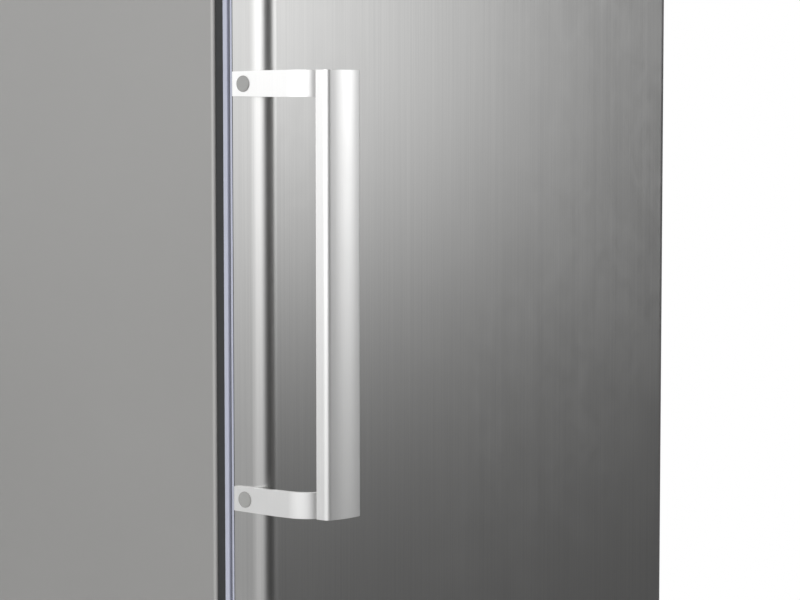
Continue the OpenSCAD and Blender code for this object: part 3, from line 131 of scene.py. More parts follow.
# %% [markdown]
# ### Places and directions
# Textures here use object coordinates, so their grain keeps its size in metres and
# stays fixed to the piece when a door or a drawer moves. The object's own normal does
# the same for directions: it still tells the inside of the handle when the door swings.

# %% Helpers for coordinates
def own_coordinates(tree, output="Object"):
    """Where each point is in the object's own coordinates, or its own normal there."""
    return add(tree, "TexCoord").outputs[output]


def split(tree, vector):
    """The X, Y and Z of a vector."""
    return add(tree, "SeparateXYZ", {0: vector}).outputs


def texture_in_metres(tree, kind, inputs):
    """A texture on the object's own coordinates, so its Scale counts per metre."""
    return add(tree, kind, {"Vector": own_coordinates(tree), **inputs}).outputs


print("coordinate helpers ready")

# %% [markdown]
# ### Starting a material
# Each finish is one Principled shader. What is the same all over the surface is set on
# the shader's own sockets, and only what changes over the surface gets a node.

# %% Helpers that start a material
def empty_material(name):
    """A material without nodes but its output, and that output's surface socket."""
    material = bpy.data.materials.new(name)
    material.use_nodes = True
    tree = material.node_tree
    tree.nodes.clear()
    return material, tree, add(tree, "OutputMaterial").inputs["Surface"]


def new_finish(name, values):
    """A material with a Principled shader, its constants set on the shader's own sockets."""
    material, tree, surface = empty_material(name)
    shader = add(tree, "BsdfPrincipled", values)
    feed(tree, shader.outputs[0], surface)
    material.diffuse_color = values["Base Color"]
    return material, tree, shader


def mix_shaders(tree, share, first, second):
    """Sends two shaders to the tree's output, as a share chooses between them."""
    choice = add(tree, "MixShader", {0: share, 1: first.outputs[0], 2: second.outputs[0]})
    output = next(node for node in tree.nodes if node.type.startswith("OUTPUT_"))
    feed(tree, choice.outputs[0], output.inputs["Surface"])


def raise_surface(tree, shader, height, distance, strength=1.0):
    """Bump on the shader's normal: distance is the relief in metres."""
    bump = add(tree, "Bump", {"Strength": strength, "Distance": distance, "Height": height})
    feed(tree, bump.outputs["Normal"], shader.inputs["Normal"])


print("material helpers ready")

# %% [markdown]
# ## Effects that several finishes share
# Brushing, moulding grain, hand marks, orange peel and dust turn up on many pieces.
# Each could be rebuilt in every material. A node group with named inputs is better:
# it is built once, and each finish places it with its own values.

# %% Helpers that start and place a node group
def new_effect(name, inputs, outputs):
    """A shader node group whose sockets are floats, with its inputs and its output node."""
    group = bpy.data.node_groups.new(name, "ShaderNodeTree")
    for label, value in inputs.items():
        socket = group.interface.new_socket(label, in_out="INPUT", socket_type="NodeSocketFloat")
        socket.default_value = value
    for label in outputs:
        group.interface.new_socket(label, in_out="OUTPUT", socket_type="NodeSocketFloat")
    start = group.nodes.new("NodeGroupInput")
    end = group.nodes.new("NodeGroupOutput")
    return group, start.outputs, end.inputs


def place(tree, group, **values):
    """One use of an effect in a material. Underscores stand for the spaces in its input names."""
    node = tree.nodes.new("ShaderNodeGroup")
    node.node_tree = group
    for key, value in values.items():
        node.inputs[key.replace("_", " ")].default_value = value
    return node.outputs


print("effect helpers ready")

# %% [markdown]
# ### Upright brushing
# A belt drawn along the sheet leaves scratches that are hair-thin and very long.
# Noise gives that look when its coordinates are squeezed across the scratch and
# stretched along it. A second, wider noise on the same coordinates gives the soft bands.

# %% Effect: upright brushing
brushing, start, end = new_effect(
    "Upright Brushing",
    {"Lines per Metre": 1400.0, "Line Length": 0.12},
    ["Line", "Band"],
)
across = start["Lines per Metre"]
along = compute(brushing, "DIVIDE", 1.0, start["Line Length"])
squeeze = add(brushing, "CombineXYZ", {"X": across, "Y": across, "Z": along}).outputs[0]
stretched = add(
    brushing, "VectorMath", {0: own_coordinates(brushing), 1: squeeze}, operation="MULTIPLY"
).outputs[0]
for label, scale, detail, roughness in (("Line", 1.0, 3.0, 0.62), ("Band", 0.08, 2.0, 0.5)):
    noise = add(
        brushing,
        "TexNoise",
        {"Vector": stretched, "Scale": scale, "Detail": detail, "Roughness": roughness},
    )
    feed(brushing, stretch(brushing, noise.outputs[0], 0.3, 0.7), end[label])
print("group:", brushing.name)

# %% [markdown]
# ### Moulding grain
# An injection mould for matte plastic is etched, so the part has a skin of tiny pits.
# Voronoi distance gives rounded cells, and a soft noise varies the shade.

# %% Effect: moulding grain
grain, start, end = new_effect("Moulding Grain", {"Cells per Metre": 1600.0}, ["Height", "Shade"])
cells = texture_in_metres(
    grain, "TexVoronoi", {"Scale": start["Cells per Metre"], "Randomness": 1.0}
)
drift = texture_in_metres(grain, "TexNoise", {"Scale": 9.0, "Detail": 4.0, "Roughness": 0.55})
feed(grain, cells["Distance"], end["Height"])
feed(grain, drift[0], end["Shade"])
print("group:", grain.name)

# %% [markdown]
# ### Hand marks
# Doors, handles and drawers carry faint smears where hands and cloths have been.
# Two soft noises multiplied together leave separate patches, not an even fog.

# %% Effect: hand marks
marks, start, end = new_effect("Hand Marks", {"Patches per Metre": 7.0, "Cover": 0.5}, ["Mask"])
patches = start["Patches per Metre"]
streaks = compute(marks, "MULTIPLY", patches, 6.5)
large = texture_in_metres(
    marks, "TexNoise", {"Scale": patches, "Detail": 3.0, "Roughness": 0.5, "Distortion": 0.6}
)
small = texture_in_metres(
    marks, "TexNoise", {"Scale": streaks, "Detail": 5.0, "Roughness": 0.6, "Distortion": 1.2}
)
both = compute(marks, "MULTIPLY", large[0], small[0])
patchy = stretch(marks, both, 0.16, 0.4, interpolation_type="SMOOTHSTEP")
feed(marks, compute(marks, "MULTIPLY", patchy, start["Cover"]), end["Mask"])
print("group:", marks.name)

# %% [markdown]
# ### Orange peel
# Sprayed and powder-coated sheet dries with a very low, rounded waviness.
# It hardly shows face on, but it softens every reflection in the coat.

# %% Effect: orange peel
peel, start, end = new_effect("Orange Peel", {"Waves per Metre": 420.0}, ["Height", "Cloud"])
waves = texture_in_metres(
    peel, "TexNoise", {"Scale": start["Waves per Metre"], "Detail": 1.0, "Roughness": 0.4}
)
cloud = texture_in_metres(peel, "TexNoise", {"Scale": 3.0, "Detail": 4.0, "Roughness": 0.5})
feed(peel, waves[0], end["Height"])
feed(peel, cloud[0], end["Cloud"])
print("group:", peel.name)

# %% [markdown]
# ### Dust
# Dust settles on what faces up, and clings in drifts. The surface's own normal says
# how far it faces up, and noise breaks the layer. It is used only on parts that are
# seldom wiped: the top, the rear sheet, the floor pan and the works at the rear.
# Here the world's normal is right, because dust falls straight down.

# %% Effect: settled dust
dust, start, end = new_effect("Settled Dust", {"Amount": 0.5}, ["Mask"])
normal = split(dust, add(dust, "NewGeometry").outputs["Normal"])
facing_up = stretch(dust, normal["Z"], 0.2, 0.95, interpolation_type="SMOOTHSTEP")
drifts = texture_in_metres(dust, "TexNoise", {"Scale": 38.0, "Detail": 6.0, "Roughness": 0.62})
clumps = stretch(dust, drifts[0], 0.25, 0.75)
layer = compute(dust, "MULTIPLY", facing_up, clumps)
feed(dust, compute(dust, "MULTIPLY", layer, start["Amount"]), end["Mask"])
print("group:", dust.name)

# %% [markdown]
# ## Brushed steel for the door's skin
# The skin is thin stainless sheet with a fine upright brushing.
# Single scratches are far thinner than a pixel, so as bump they would only sparkle.
# They go into the colour instead, the wider bands into a very low bump, and the
# shader's anisotropy spreads reflections sideways, across the scratches.
# The roughness hardly leaves 0.3, because smoother streaks show as dark dots in a
# render with few samples. Only the hand marks make it clearly duller.

# %% Finish: brushed steel
brushed_steel, tree, shader = new_finish(
    "brushed_steel",
    {"Base Color": (0.62, 0.62, 0.612, 1), "Metallic": 1.0, "Roughness": 0.3, "Anisotropic": 0.55},
)
lines = place(tree, brushing, Lines_per_Metre=1500.0, Line_Length=0.22)
smears = place(tree, marks, Patches_per_Metre=5.0, Cover=0.6)
tone = mix_colours(tree, lines["Line"], (0.585, 0.585, 0.58, 1), (0.655, 0.653, 0.645, 1))
feed(tree, tone, shader.inputs["Base Color"])
banded = between(tree, lines["Band"], 0.292, 0.308)
smeared = compute(tree, "MULTIPLY", smears["Mask"], 0.05)
feed(tree, compute(tree, "ADD", banded, smeared), shader.inputs["Roughness"])
raise_surface(tree, shader, lines["Band"], 0.00001, 0.4)
print("brushed steel: metallic", shader.inputs["Metallic"].default_value)

# %% [markdown]
# ## Satin aluminium for the handle
# The bar and its bent straps are aluminium, brushed lightly and anodised.
# It is paler than the steel, and its grain is finer and shorter. The bar is an open channel, and
# its inside, which faces the door, is painted dark grey as shade. The Y of the object's own normal
# finds it.

# %% Finish: satin anodised aluminium
handle_aluminium, tree, shader = new_finish(
    "handle_aluminium",
    {"Base Color": (0.95, 0.95, 0.945, 1), "Metallic": 0.85, "Roughness": 0.36, "Anisotropic": 0.3},
)
lines = place(tree, brushing, Lines_per_Metre=2600.0, Line_Length=0.05)
smears = place(tree, marks, Patches_per_Metre=12.0, Cover=0.5)
tone = mix_colours(tree, lines["Line"], (0.93, 0.93, 0.925, 1), (0.97, 0.97, 0.965, 1))
inside = stretch(tree, split(tree, own_coordinates(tree, "Normal"))["Y"], 0.15, 0.6)
# Painted shade: the channel's inside, facing the door, goes dark grey.
channel_with_painted_shade = mix_colours(tree, inside, tone, (0.3, 0.296, 0.292, 1))
feed(tree, channel_with_painted_shade, shader.inputs["Base Color"])
feed(tree, between(tree, smears["Mask"], 0.35, 0.4), shader.inputs["Roughness"])
raise_surface(tree, shader, lines["Band"], 0.00001, 0.4)
print("handle aluminium ready")

# %% [markdown]
# ## Grey coat for the cabinet
# The folded sides are pre-painted sheet in a warm mid grey, with a low satin sheen.
# Orange peel gives the coat its softness, and a wide cloud keeps the tone from being flat.
# Where the sheet is folded round the front edge the coat is made paler, as a painted highlight. The
# fold faces both sideways and forwards, so the product of the two finds it.

# %% Finish: cabinet paint
cabinet_paint, tree, shader = new_finish(
    "cabinet_paint",
    {
        "Base Color": (0.3, 0.297, 0.291, 1), "Roughness": 0.36,
        "Coat Weight": 0.7, "Coat Roughness": 0.14,
    },
)
skin = place(tree, peel, Waves_per_Metre=380.0)
smears = place(tree, marks, Patches_per_Metre=3.0, Cover=0.5)
tone = mix_colours(tree, skin["Cloud"], (0.285, 0.282, 0.276, 1), (0.312, 0.309, 0.303, 1))
normal = split(tree, own_coordinates(tree, "Normal"))
sideways = compute(tree, "ABSOLUTE", normal["X"])
forwards = compute(tree, "MULTIPLY", normal["Y"], -2.0)
highlight_on_fold = compute(tree, "MULTIPLY", sideways, forwards, use_clamp=True)
# Painted highlight: the fold's colour is made paler.
painted_fold_highlight = mix_colours(tree, highlight_on_fold, tone, (0.43, 0.426, 0.418, 1))
feed(tree, painted_fold_highlight, shader.inputs["Base Color"])
feed(tree, between(tree, smears["Mask"], 0.34, 0.43), shader.inputs["Roughness"])
raise_surface(tree, shader, skin["Height"], 0.00004, 0.5)
print("cabinet paint ready")

# %% [markdown]
# ## Plastics
# Five mouldings make most of the rest: the pale grooved door frame, the grey top and
# caps, the white liner, the black small parts and the green slider.
# One helper builds them all, because they differ only in colour, gloss and grain.
# Those that are seldom wiped get a layer of dust over their tone.

# %% Helpers: dust over a tone, and a moulded plastic
plastic_dust = (0.42, 0.4, 0.37, 1)


def add_dust(tree, tone, amount, dust_colour):
    """A tone with settled dust over it."""
    return mix_colours(tree, place(tree, dust, Amount=amount)["Mask"], tone, dust_colour)


def moulded_plastic(name, low, high, gloss, cells, relief, dusty=0.0, wiped=0.1):
    """Plastic between two shades, with grain in its bump and wiped patches in its gloss."""
    values = {"Base Color": (*high, 1), "Roughness": gloss, "Specular IOR Level": 0.5}
    material, tree, shader = new_finish(name, values)
    pits = place(tree, grain, Cells_per_Metre=cells)
    smears = place(tree, marks, Patches_per_Metre=9.0, Cover=0.7)
    tone = mix_colours(tree, pits["Shade"], (*low, 1), (*high, 1))
    if dusty:
        tone = add_dust(tree, tone, dusty, plastic_dust)
    feed(tree, tone, shader.inputs["Base Color"])
    roughness = between(tree, smears["Mask"], gloss - 0.3 * wiped, gloss + wiped)
    feed(tree, roughness, shader.inputs["Roughness"])
    raise_surface(tree, shader, pits["Height"], relief, 0.6)
    return material


print("plastic helpers ready")

# %% Finishes: the five mouldings
frame_plastic = moulded_plastic(
    "frame_plastic", (0.46, 0.48, 0.585), (0.51, 0.53, 0.635),
    gloss=0.32, cells=2200.0, relief=0.00001,
)
cap_grey = moulded_plastic(
    "cap_grey", (0.33, 0.33, 0.325), (0.37, 0.37, 0.36),
    gloss=0.48, cells=1500.0, relief=0.00003, dusty=0.15,
)
white_plastic = moulded_plastic(
    "white_plastic", (0.79, 0.8, 0.802), (0.81, 0.82, 0.822),
    gloss=0.34, cells=900.0, relief=0.000008, wiped=0.03,
)
dark_plastic = moulded_plastic(
    "dark_plastic", (0.014, 0.014, 0.015), (0.024, 0.024, 0.026),
    gloss=0.5, cells=1500.0, relief=0.00004, dusty=0.35,
)
slider_green = moulded_plastic(
    "slider_green", (0.1, 0.3, 0.14), (0.13, 0.36, 0.17),
    gloss=0.32, cells=1600.0, relief=0.00001,
)
plastics = [frame_plastic, cap_grey, white_plastic, dark_plastic, slider_green]
print("plastics:", [m.name for m in plastics])

# %% [markdown]
# ## Rubber
# The door gasket is a soft dark grey extrusion, and the compressor stands on black mounts.
# Both are matte, and their grain is larger and softer than the mouldings', so the same
# helper makes them with fewer cells per metre and a higher relief.

# %% Finish: rubbers
gasket = moulded_plastic(
    "gasket", (0.02, 0.021, 0.022), (0.03, 0.031, 0.033),
    gloss=0.66, cells=700.0, relief=0.00005,
)
rubber_black = moulded_plastic(
    "rubber_black", (0.012, 0.012, 0.012), (0.024, 0.023, 0.022),
    gloss=0.68, cells=900.0, relief=0.00006, dusty=0.4,
)
rubbers = [gasket, rubber_black]
print("rubbers:", [m.name for m in rubbers])

# %% [markdown]
# ## Clear bins, drawers and glass
# Clear parts could be plain glass shaders, but then their shadows turn the inside dark,
# because lamps don't shine through a refracting surface in a path tracer.
# Each keeps a plain glass-like Principled shader, and a Transparent shader takes over
# for shadow rays only, so the white liner behind stays light.

# %% Helper: a clear material that lets light through
def clear_material(name, tint, rough, ior, cells=0.0, relief=0.0):
    """Glass or clear plastic with a tint, and a see-through shadow in a paler tint."""
    values = {"Base Color": (*tint, 1), "Roughness": rough, "IOR": ior, "Transmission Weight": 1.0}
    material, tree, shader = new_finish(name, values)
    smears = place(tree, marks, Patches_per_Metre=11.0, Cover=0.6)
    smeared = rough + 0.07
    feed(tree, between(tree, smears["Mask"], rough, smeared), shader.inputs["Roughness"])
    if cells:
        pits = place(tree, grain, Cells_per_Metre=cells)
        raise_surface(tree, shader, pits["Height"], relief, 0.5)
    shadow_tint = (*[0.5 + 0.5 * c for c in tint], 1)
    shadow = add(tree, "BsdfTransparent", {"Color": shadow_tint})
    is_shadow = add(tree, "LightPath").outputs["Is Shadow Ray"]
    mix_shaders(tree, is_shadow, shader, shadow)
    return material


print("clear material helper ready")

# %% Finishes: clear plastic, glass and the lens
clear_plastic = clear_material("clear_plastic", (0.975, 0.985, 0.988), 0.03, 1.49, 300.0, 0.00001)
glass = clear_material("glass", (0.91, 0.97, 0.95), 0.0, 1.52)
lens_plastic = clear_material("lens_plastic", (0.96, 0.97, 0.98), 0.35, 1.49, 900.0, 0.00004)
clears = [clear_plastic, glass, lens_plastic]
print("clear materials:", [m.name for m in clears])

# %% [markdown]
# ## Bare and coated metals of the works
# The rear panel and the floor pan are galvanised: zinc freezes into large flat crystals,
# which Voronoi cells give. The condenser and the compressor are black enamel, the pipes
# copper that has dulled in patches, and the hinges and screws bright zinc plate.

# %% Finish: galvanised sheet
metal_dust = (0.4, 0.38, 0.35, 1)

zinc_sheet, tree, shader = new_finish(
    "zinc_sheet", {"Base Color": (0.5, 0.51, 0.52, 1), "Metallic": 0.85, "Roughness": 0.45}
)
crystals = texture_in_metres(tree, "TexVoronoi", {"Scale": 90.0, "Randomness": 1.0})
face = add(tree, "SeparateColor", {0: crystals["Color"]}).outputs
tone = mix_colours(tree, face[0], (0.44, 0.45, 0.465, 1), (0.58, 0.59, 0.6, 1))
feed(tree, add_dust(tree, tone, 0.5, metal_dust), shader.inputs["Base Color"])
feed(tree, between(tree, face[1], 0.38, 0.56), shader.inputs["Roughness"])
raise_surface(tree, shader, crystals["Distance"], 0.00002, 0.4)
print("zinc sheet ready")

# %% Helper: a worked metal
def worked_metal(name, low, high, rough, metallic=1.0, patches=30.0, dusty=0.0):
    """Metal between two tones with dull patches, fine waviness and, if wanted, dust."""
    values = {"Base Color": (*high, 1), "Metallic": metallic, "Roughness": rough}
    material, tree, shader = new_finish(name, values)
    dull = place(tree, marks, Patches_per_Metre=patches, Cover=1.0)
    skin = place(tree, peel, Waves_per_Metre=900.0)
    tone = mix_colours(tree, dull["Mask"], (*high, 1), (*low, 1))
    if dusty:
        tone = add_dust(tree, tone, dusty, metal_dust)
    feed(tree, tone, shader.inputs["Base Color"])
    dulled = min(rough + 0.25, 0.9)
    feed(tree, between(tree, dull["Mask"], rough, dulled), shader.inputs["Roughness"])
    raise_surface(tree, shader, skin["Height"], 0.00002, 0.5)
    return material


print("metal helper ready")

# %% Finishes: enamel, copper, zinc plate, chrome and aluminium
black_steel = worked_metal(
    "black_steel", (0.018, 0.018, 0.019), (0.012, 0.012, 0.013), 0.3,
    metallic=0.0, patches=20.0, dusty=0.45,
)
copper = worked_metal(
    "copper", (0.35, 0.16, 0.08), (0.72, 0.38, 0.24), 0.25, patches=45.0, dusty=0.2
)
steel_bracket = worked_metal(
    "steel_bracket", (0.42, 0.43, 0.46), (0.6, 0.61, 0.64), 0.28, patches=60.0
)
chrome_wire = worked_metal("chrome_wire", (0.6, 0.6, 0.62), (0.78, 0.78, 0.8), 0.12, patches=40.0)
evaporator_aluminium = worked_metal(
    "evaporator_aluminium", (0.5, 0.51, 0.52), (0.68, 0.69, 0.7), 0.38, patches=25.0
)
metals = [zinc_sheet, black_steel, copper, steel_bracket, chrome_wire, evaporator_aluminium]
print("metals:", [m.name for m in metals])

# %% [markdown]
# ## Foam and the lamp's board
# Foam fills the walls and is hidden unless a panel is taken off. It is cream and
# cellular. The small board behind the lens is green with a row of pale lamps, which
# a wave along X that turns back and forth draws without any picture.

# %% Finish: rigid foam
foam, tree, shader = new_finish(
    "foam", {"Base Color": (0.74, 0.6, 0.34, 1), "Roughness": 0.9, "Specular IOR Level": 0.2}
)
pits = place(tree, grain, Cells_per_Metre=420.0)
tone = mix_colours(tree, pits["Height"], (0.66, 0.52, 0.28, 1), (0.78, 0.66, 0.4, 1))
feed(tree, tone, shader.inputs["Base Color"])
raise_surface(tree, shader, pits["Height"], 0.0006, 0.8)
print("foam ready")

# %% Finish: lamp board
board_colour = (0.02, 0.09, 0.035, 1)
lamp_spacing = 0.048
lamp_half_width = 0.0022

board_green, tree, shader = new_finish(
    "board_green", {"Base Color": board_colour, "Roughness": 0.35}
)
along_board = split(tree, own_coordinates(tree))["X"]
to_nearest_lamp = compute(tree, "PINGPONG", along_board, lamp_spacing / 2)
lamp = compute(tree, "LESS_THAN", to_nearest_lamp, lamp_half_width)
feed(tree, mix_colours(tree, lamp, board_colour, (0.85, 0.78, 0.5, 1)), shader.inputs["Base Color"])
pits = place(tree, grain, Cells_per_Metre=900.0)
raise_surface(tree, shader, pits["Height"], 0.00002, 0.4)
print("lamps on the board every", lamp_spacing, "m")

# %% [markdown]
# ## Dressing the pieces
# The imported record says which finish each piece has. Reading it keeps this script and
# the model in step: a piece can't be forgotten, and its name is written once.

# %% Give every piece its finish
coats = [brushed_steel, handle_aluminium, cabinet_paint, foam, board_green]
finishes = {m.name.split(".")[0]: m for m in coats + plastics + rubbers + clears + metals}
for part in frame["record"]["subparts"]:
    piece = frame["nodes"][part["node"]]
    finish = finishes[part["material_slot"]]
    if not piece.material_slots:
        piece.data.materials.append(finish)
    for material_slot in piece.material_slots:
        material_slot.material = finish

# %% [markdown]
# ## Two thin lines round the door
# A dark strip at the bottom of the frame's groove is painted shade, and so is a dark bead in the
# small valley where the folded steel meets the plastic frame.
# Both run all the way round the door, so one function makes a rectangular ring from
# its depth, its thickness and its place along Y. They could be painted on as a mask,
# but a real ring turns the corners and catches light as the photographed lines do.

# %% Helper: a ring round the door
def door_ring(name, depth, thickness, y_from_front, width, finish):
    """A thin rectangular ring round the door, let in from the frame's outer faces by depth."""
    low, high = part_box("door_frame")
    y0 = low[1] + y_from_front
    y1 = y0 + width
    deep = depth + thickness
    shape = bmesh.new()
    loops = []
    for inset, y in ((depth, y0), (depth, y1), (deep, y1), (deep, y0)):
        x0, x1, z0, z1 = low[0] + inset, high[0] - inset, low[2] + inset, high[2] - inset
        corners = ((x0, y, z0), (x1, y, z0), (x1, y, z1), (x0, y, z1))
        loops.append([shape.verts.new(corner) for corner in corners])
    for loop, following in zip(loops, loops[1:] + loops[:1]):
        for i in range(4):
            j = (i + 1) % 4
            shape.faces.new((loop[i], loop[j], following[j], following[i]))
    bmesh.ops.recalc_face_normals(shape, faces=shape.faces)
    mesh = bpy.data.meshes.new(name)
    shape.to_mesh(mesh)
    shape.free()
    mesh.materials.append(finish)
    piece = bpy.data.objects.new(name, mesh)
    bpy.context.scene.collection.objects.link(piece)
    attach(piece, "door")
    return piece


# %% Painted shade: a strip in the groove and a bead in the valley
# The groove's sizes in metres, as the model's frame has them.
ridge_front = 0.0033
groove_width = 0.0027
groove_depth = 0.0034
strip_gap = 0.0001

# Painted shade: a dark strip lies where the groove is only in shade.
groove_shade_strip = door_ring(
    "groove_shade_strip",
    depth=groove_depth - 2 * strip_gap,
    thickness=0.0005,
    y_from_front=ridge_front + strip_gap,
    width=groove_width - 2 * strip_gap,
    finish=gasket,
)
# Painted shade: a dark bead lies in the shaded valley between steel and frame.
valley_shade_bead = door_ring(
    "valley_shade_bead",
    depth=0.00003,
    thickness=0.0009,
    y_from_front=-0.00005,
    width=0.0008,
    finish=gasket,
)
print("rings:", groove_shade_strip.name, valley_shade_bead.name)

# %% [markdown]
# ## The floor
# A plain pale floor carries the refrigerator and takes its shadow. Further off it
# turns into the white of the room, as a paper sweep does behind a product. A curved
# sweep would need a wall on every side, so the floor's own distance from the
# refrigerator blends it to white, for the eye, for reflections and through glass.

# %% Helpers: a flat card, and the rays that see the white room
def flat_card(name, x0, x1, y0, y1, z):
    """A level rectangle. It isn't linked to the scene yet."""
    mesh = bpy.data.meshes.new(name)
    mesh.from_pydata([(x0, y0, z), (x1, y0, z), (x1, y1, z), (x0, y1, z)], [], [(0, 1, 2, 3)])
    return bpy.data.objects.new(name, mesh)


def seeing_rays(tree):
    """1 for rays from the camera, off gloss or through glass, and 0 for all others."""
    path = add(tree, "LightPath").outputs
    direct = compute(tree, "ADD", path["Is Camera Ray"], path["Is Glossy Ray"])
    return compute(tree, "ADD", direct, path["Is Transmission Ray"], use_clamp=True)


# %% Pale floor
floor_reach = 9
sweep_begins = 0.8
sweep_ends = 2.6
white = (1, 1, 1, 1)

floor = flat_card("studio_floor", -floor_reach, floor_reach, -floor_reach, floor_reach, 0)
bpy.context.scene.collection.objects.link(floor)
floor_finish, tree, shader = new_finish(
    "studio_floor",
    {"Base Color": (0.84, 0.84, 0.83, 1), "Roughness": 0.7, "Specular IOR Level": 0.3},
)
pits = place(tree, grain, Cells_per_Metre=60.0)
tone = mix_colours(tree, pits["Shade"], (0.82, 0.82, 0.81, 1), (0.86, 0.86, 0.85, 1))
feed(tree, tone, shader.inputs["Base Color"])
distance = add(tree, "VectorMath", {0: own_coordinates(tree)}, operation="LENGTH").outputs["Value"]
away = stretch(tree, distance, sweep_begins, sweep_ends, interpolation_type="SMOOTHSTEP")
share = compute(tree, "MULTIPLY", away, seeing_rays(tree))
paper = add(tree, "Emission", {"Color": white, "Strength": 1.0})
mix_shaders(tree, share, shader, paper)
floor.data.materials.append(floor_finish)
print("floor spans", 2 * floor_reach, "m and is white from", sweep_ends, "m away")

# %% [markdown]
# ## The white room and its lamps
# The background is white for the camera, for reflections and through glass, and dimmer
# for the light it throws, so pale plastic doesn't wash out. Four large soft lamps
# model the form: from the left front, the right, above and behind.

# %% World
world = bpy.data.worlds.new("white_room")
bpy.context.scene.world = world
world.use_nodes = True
tree = world.node_tree
tree.nodes.clear()
add(tree, "OutputWorld")
seen = add(tree, "Background", {"Color": white, "Strength": 1.0})
thrown = add(tree, "Background", {"Color": white, "Strength": 0.5})
mix_shaders(tree, seeing_rays(tree), thrown, seen)
print("white room ready")

# %% Soft lamps
def soft_lamp(name, place_at, aim_at, width, height, watts):
    """A large rectangular lamp that lights surfaces but isn't seen in reflections."""
    lamp_data = bpy.data.lights.new(name, "AREA")
    lamp_data.shape = "RECTANGLE"
    lamp_data.size = width
    lamp_data.size_y = height
    lamp_data.energy = watts
    lamp = bpy.data.objects.new(name, lamp_data)
    lamp.location = place_at
    aim = Vector(aim_at) - Vector(place_at)
    lamp.rotation_euler = aim.to_track_quat("-Z", "Y").to_euler()
    lamp.visible_glossy = False
    lamp.visible_camera = False
    bpy.context.scene.collection.objects.link(lamp)
    return lamp


lamps = [
    soft_lamp("left_softbox", (-2.7, -1.1, 2.5), (0, 0, 1.3), width=1.8, height=1.6, watts=42.0),
    soft_lamp("right_softbox", (1.6, -3.2, 2.2), (0, 0, 0.9), width=2.0, height=1.6, watts=26.0),
    soft_lamp("top_softbox", (0.2, -0.6, 4.2), (0, 0, 0.9), width=2.6, height=2.2, watts=30.0),
    soft_lamp("rear_softbox", (0.8, 3.4, 2.2), (0, 0, 0.9), width=2.0, height=1.8, watts=24.0),
]
print("lamps:", [lamp.name for lamp in lamps])

# %% [markdown]
# ## What the steel reflects
# Bare metal has almost no colour of its own: it shows the room. In the photograph that
# room is white above and to the left, and dim towards the floor and the far right.
# A curved screen that only reflections can see stands in for it. A picture on the
# screen would do, but a few ramps are easier to change and need no file.

# %% Helpers: a curved screen, and cards that only reflections see
def curved_screen(name, first_deg, last_deg, radius, z0, z1):
    """Part of a cylinder round the object. Degrees run from -Y towards +X."""
    rows, columns = 8, 64
    points = []
    for row in range(rows + 1):
        z = z0 + (z1 - z0) * row / rows
        for column in range(columns + 1):
            a = math.radians(first_deg + (last_deg - first_deg) * column / columns)
            points.append((radius * math.sin(a), -radius * math.cos(a), z))
    faces = []
    for row in range(rows):
        for column in range(columns):
            corner = row * (columns + 1) + column
            above_it = corner + columns + 1
            faces.append((corner, corner + 1, above_it + 1, above_it))
    mesh = bpy.data.meshes.new(name)
    mesh.from_pydata(points, [], faces)
    for polygon in mesh.polygons:
        polygon.use_smooth = True
    return bpy.data.objects.new(name, mesh)


def new_glow(name):
    """A material that only glows, with its tree and its Emission node."""
    material, tree, surface = empty_material(name)
    glow = add(tree, "Emission")
    feed(tree, glow.outputs[0], surface)
    return material, tree, glow


def only_in_reflections(card, finish):
    """Gives a card its glow and hides it from all but reflections."""
    card.data.materials.append(finish)
    bpy.context.scene.collection.objects.link(card)
    card.visible_camera = False
    card.visible_diffuse = False
    card.visible_transmission = False
    card.visible_volume_scatter = False
    card.visible_shadow = False


print("screen helpers ready")

# %% [markdown]
# ### The light on the screen
# The screen's brightness comes from its own coordinates. One ramp runs round the object
# for the bright zone above, and one for the dim zone near the floor. A third runs up
# the screen and mixes the two, so the steel darkens downwards as in the photograph.
# The two dark stretches round the screen give the corner's dark line and the door's
# shaded right half.

# %% Helper: a ramp of grey levels
def ramp(tree, position, stops):
    """The grey level at a position, read off between stops."""
    node = add(tree, "ValToRGB", {0: position})
    node.color_ramp.interpolation = "LINEAR"
    while len(node.color_ramp.elements) < len(stops):
        node.color_ramp.elements.new(0.5)
    for element, (stop, level) in zip(node.color_ramp.elements, stops):
        element.position = stop
        element.color = (level, level, level, 1)
    return node.outputs[0]


def round_stops(*stops):
    """Stops given in degrees from -Y towards +X, for a ramp that spans the whole turn."""
    return [((degrees + 180.0) / 360.0, level) for degrees, level in stops]


def upward_stops(top, *stops):
    """Stops given in metres above the floor, for a ramp that spans the screen's height."""
    return [(metres / top, level) for metres, level in stops]


print("ramp helpers ready")

# %% Reflection screen
screen_radius = 2.2
screen_top = 2.6
screen_strength = 2.0
first_degree, last_degree = -165, 125

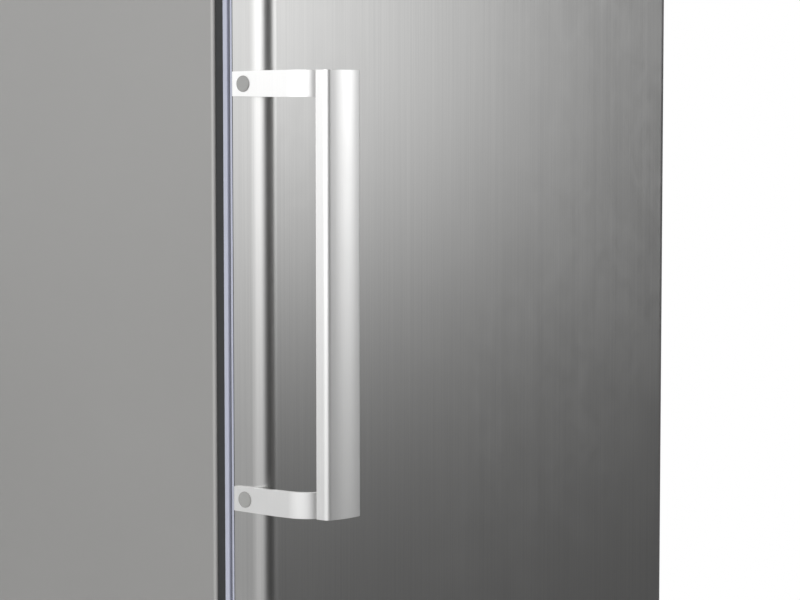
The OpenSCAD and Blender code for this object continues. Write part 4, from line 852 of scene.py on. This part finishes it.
screen = curved_screen(
    "reflection_screen", first_degree, last_degree, screen_radius, 0.0, screen_top
)
screen_finish, tree, glow = new_glow("reflection_screen")
point = split(tree, own_coordinates(tree))
to_the_front = compute(tree, "MULTIPLY", point["Y"], -1.0)
angle = compute(tree, "ARCTAN2", point["X"], to_the_front)
turn = stretch(tree, angle, -math.pi, math.pi)
height = stretch(tree, point["Z"], 0.0, screen_top)
above = ramp(tree, turn, round_stops(
    (-170, 0.45), (-128, 0.52), (-100, 0.7), (-86, 1.0), (-53, 1.0), (-43, 0.45), (-36, 0.02),
    (-4, 0.02), (5, 0.25), (14, 0.75), (24, 1.0), (37, 0.95), (41, 0.55), (45, 0.33), (50, 0.18),
    (54, 0.06), (58, 0.0), (76, 0.0), (92, 0.08), (125, 0.45),
))
below = ramp(tree, turn, round_stops(
    (-170, 0.2), (-120, 0.17), (-90, 0.28), (-51, 0.28), (-37, 0.015), (-2, 0.015),
    (10, 0.06), (36, 0.065), (50, 0.05), (62, 0.035), (90, 0.1), (125, 0.16),
))
upward = ramp(tree, height, upward_stops(
    screen_top, (0.3, 0.0), (0.5, 0.03), (0.65, 0.09), (0.8, 0.2), (0.92, 0.36),
    (1.02, 0.57), (1.12, 0.79), (1.25, 0.96), (1.4, 1.0),
))
feed(tree, mix_colours(tree, upward, below, above), glow.inputs["Color"])
glow.inputs["Strength"].default_value = screen_strength
only_in_reflections(screen, screen_finish)
print("reflection screen: radius", screen_radius, "m, height", screen_top, "m")

# %% [markdown]
# ### The floor in the steel
# The steel would mirror the pale floor in front of it, and the photographed door is dark
# down there. A darker card just above the floor takes the floor's place in reflections.

# %% Dark card on the floor
card_reach = 2.1
card_rear = -0.36  # just before the handle
card_height = 0.004

dark_floor = flat_card(
    "dark_floor_card", -card_reach, card_reach, -card_reach, card_rear, card_height
)
dark_finish, tree, glow = new_glow("dark_floor_card")
glow.inputs["Color"].default_value = (0.28, 0.28, 0.28, 1)
only_in_reflections(dark_floor, dark_finish)
print("dark card:", 2 * card_reach, "m wide,", card_height, "m above the floor")

# %% [markdown]
# The Standard view transform shows colours about as they are written.

# %% Finish
bpy.context.scene.view_settings.view_transform = "Standard"
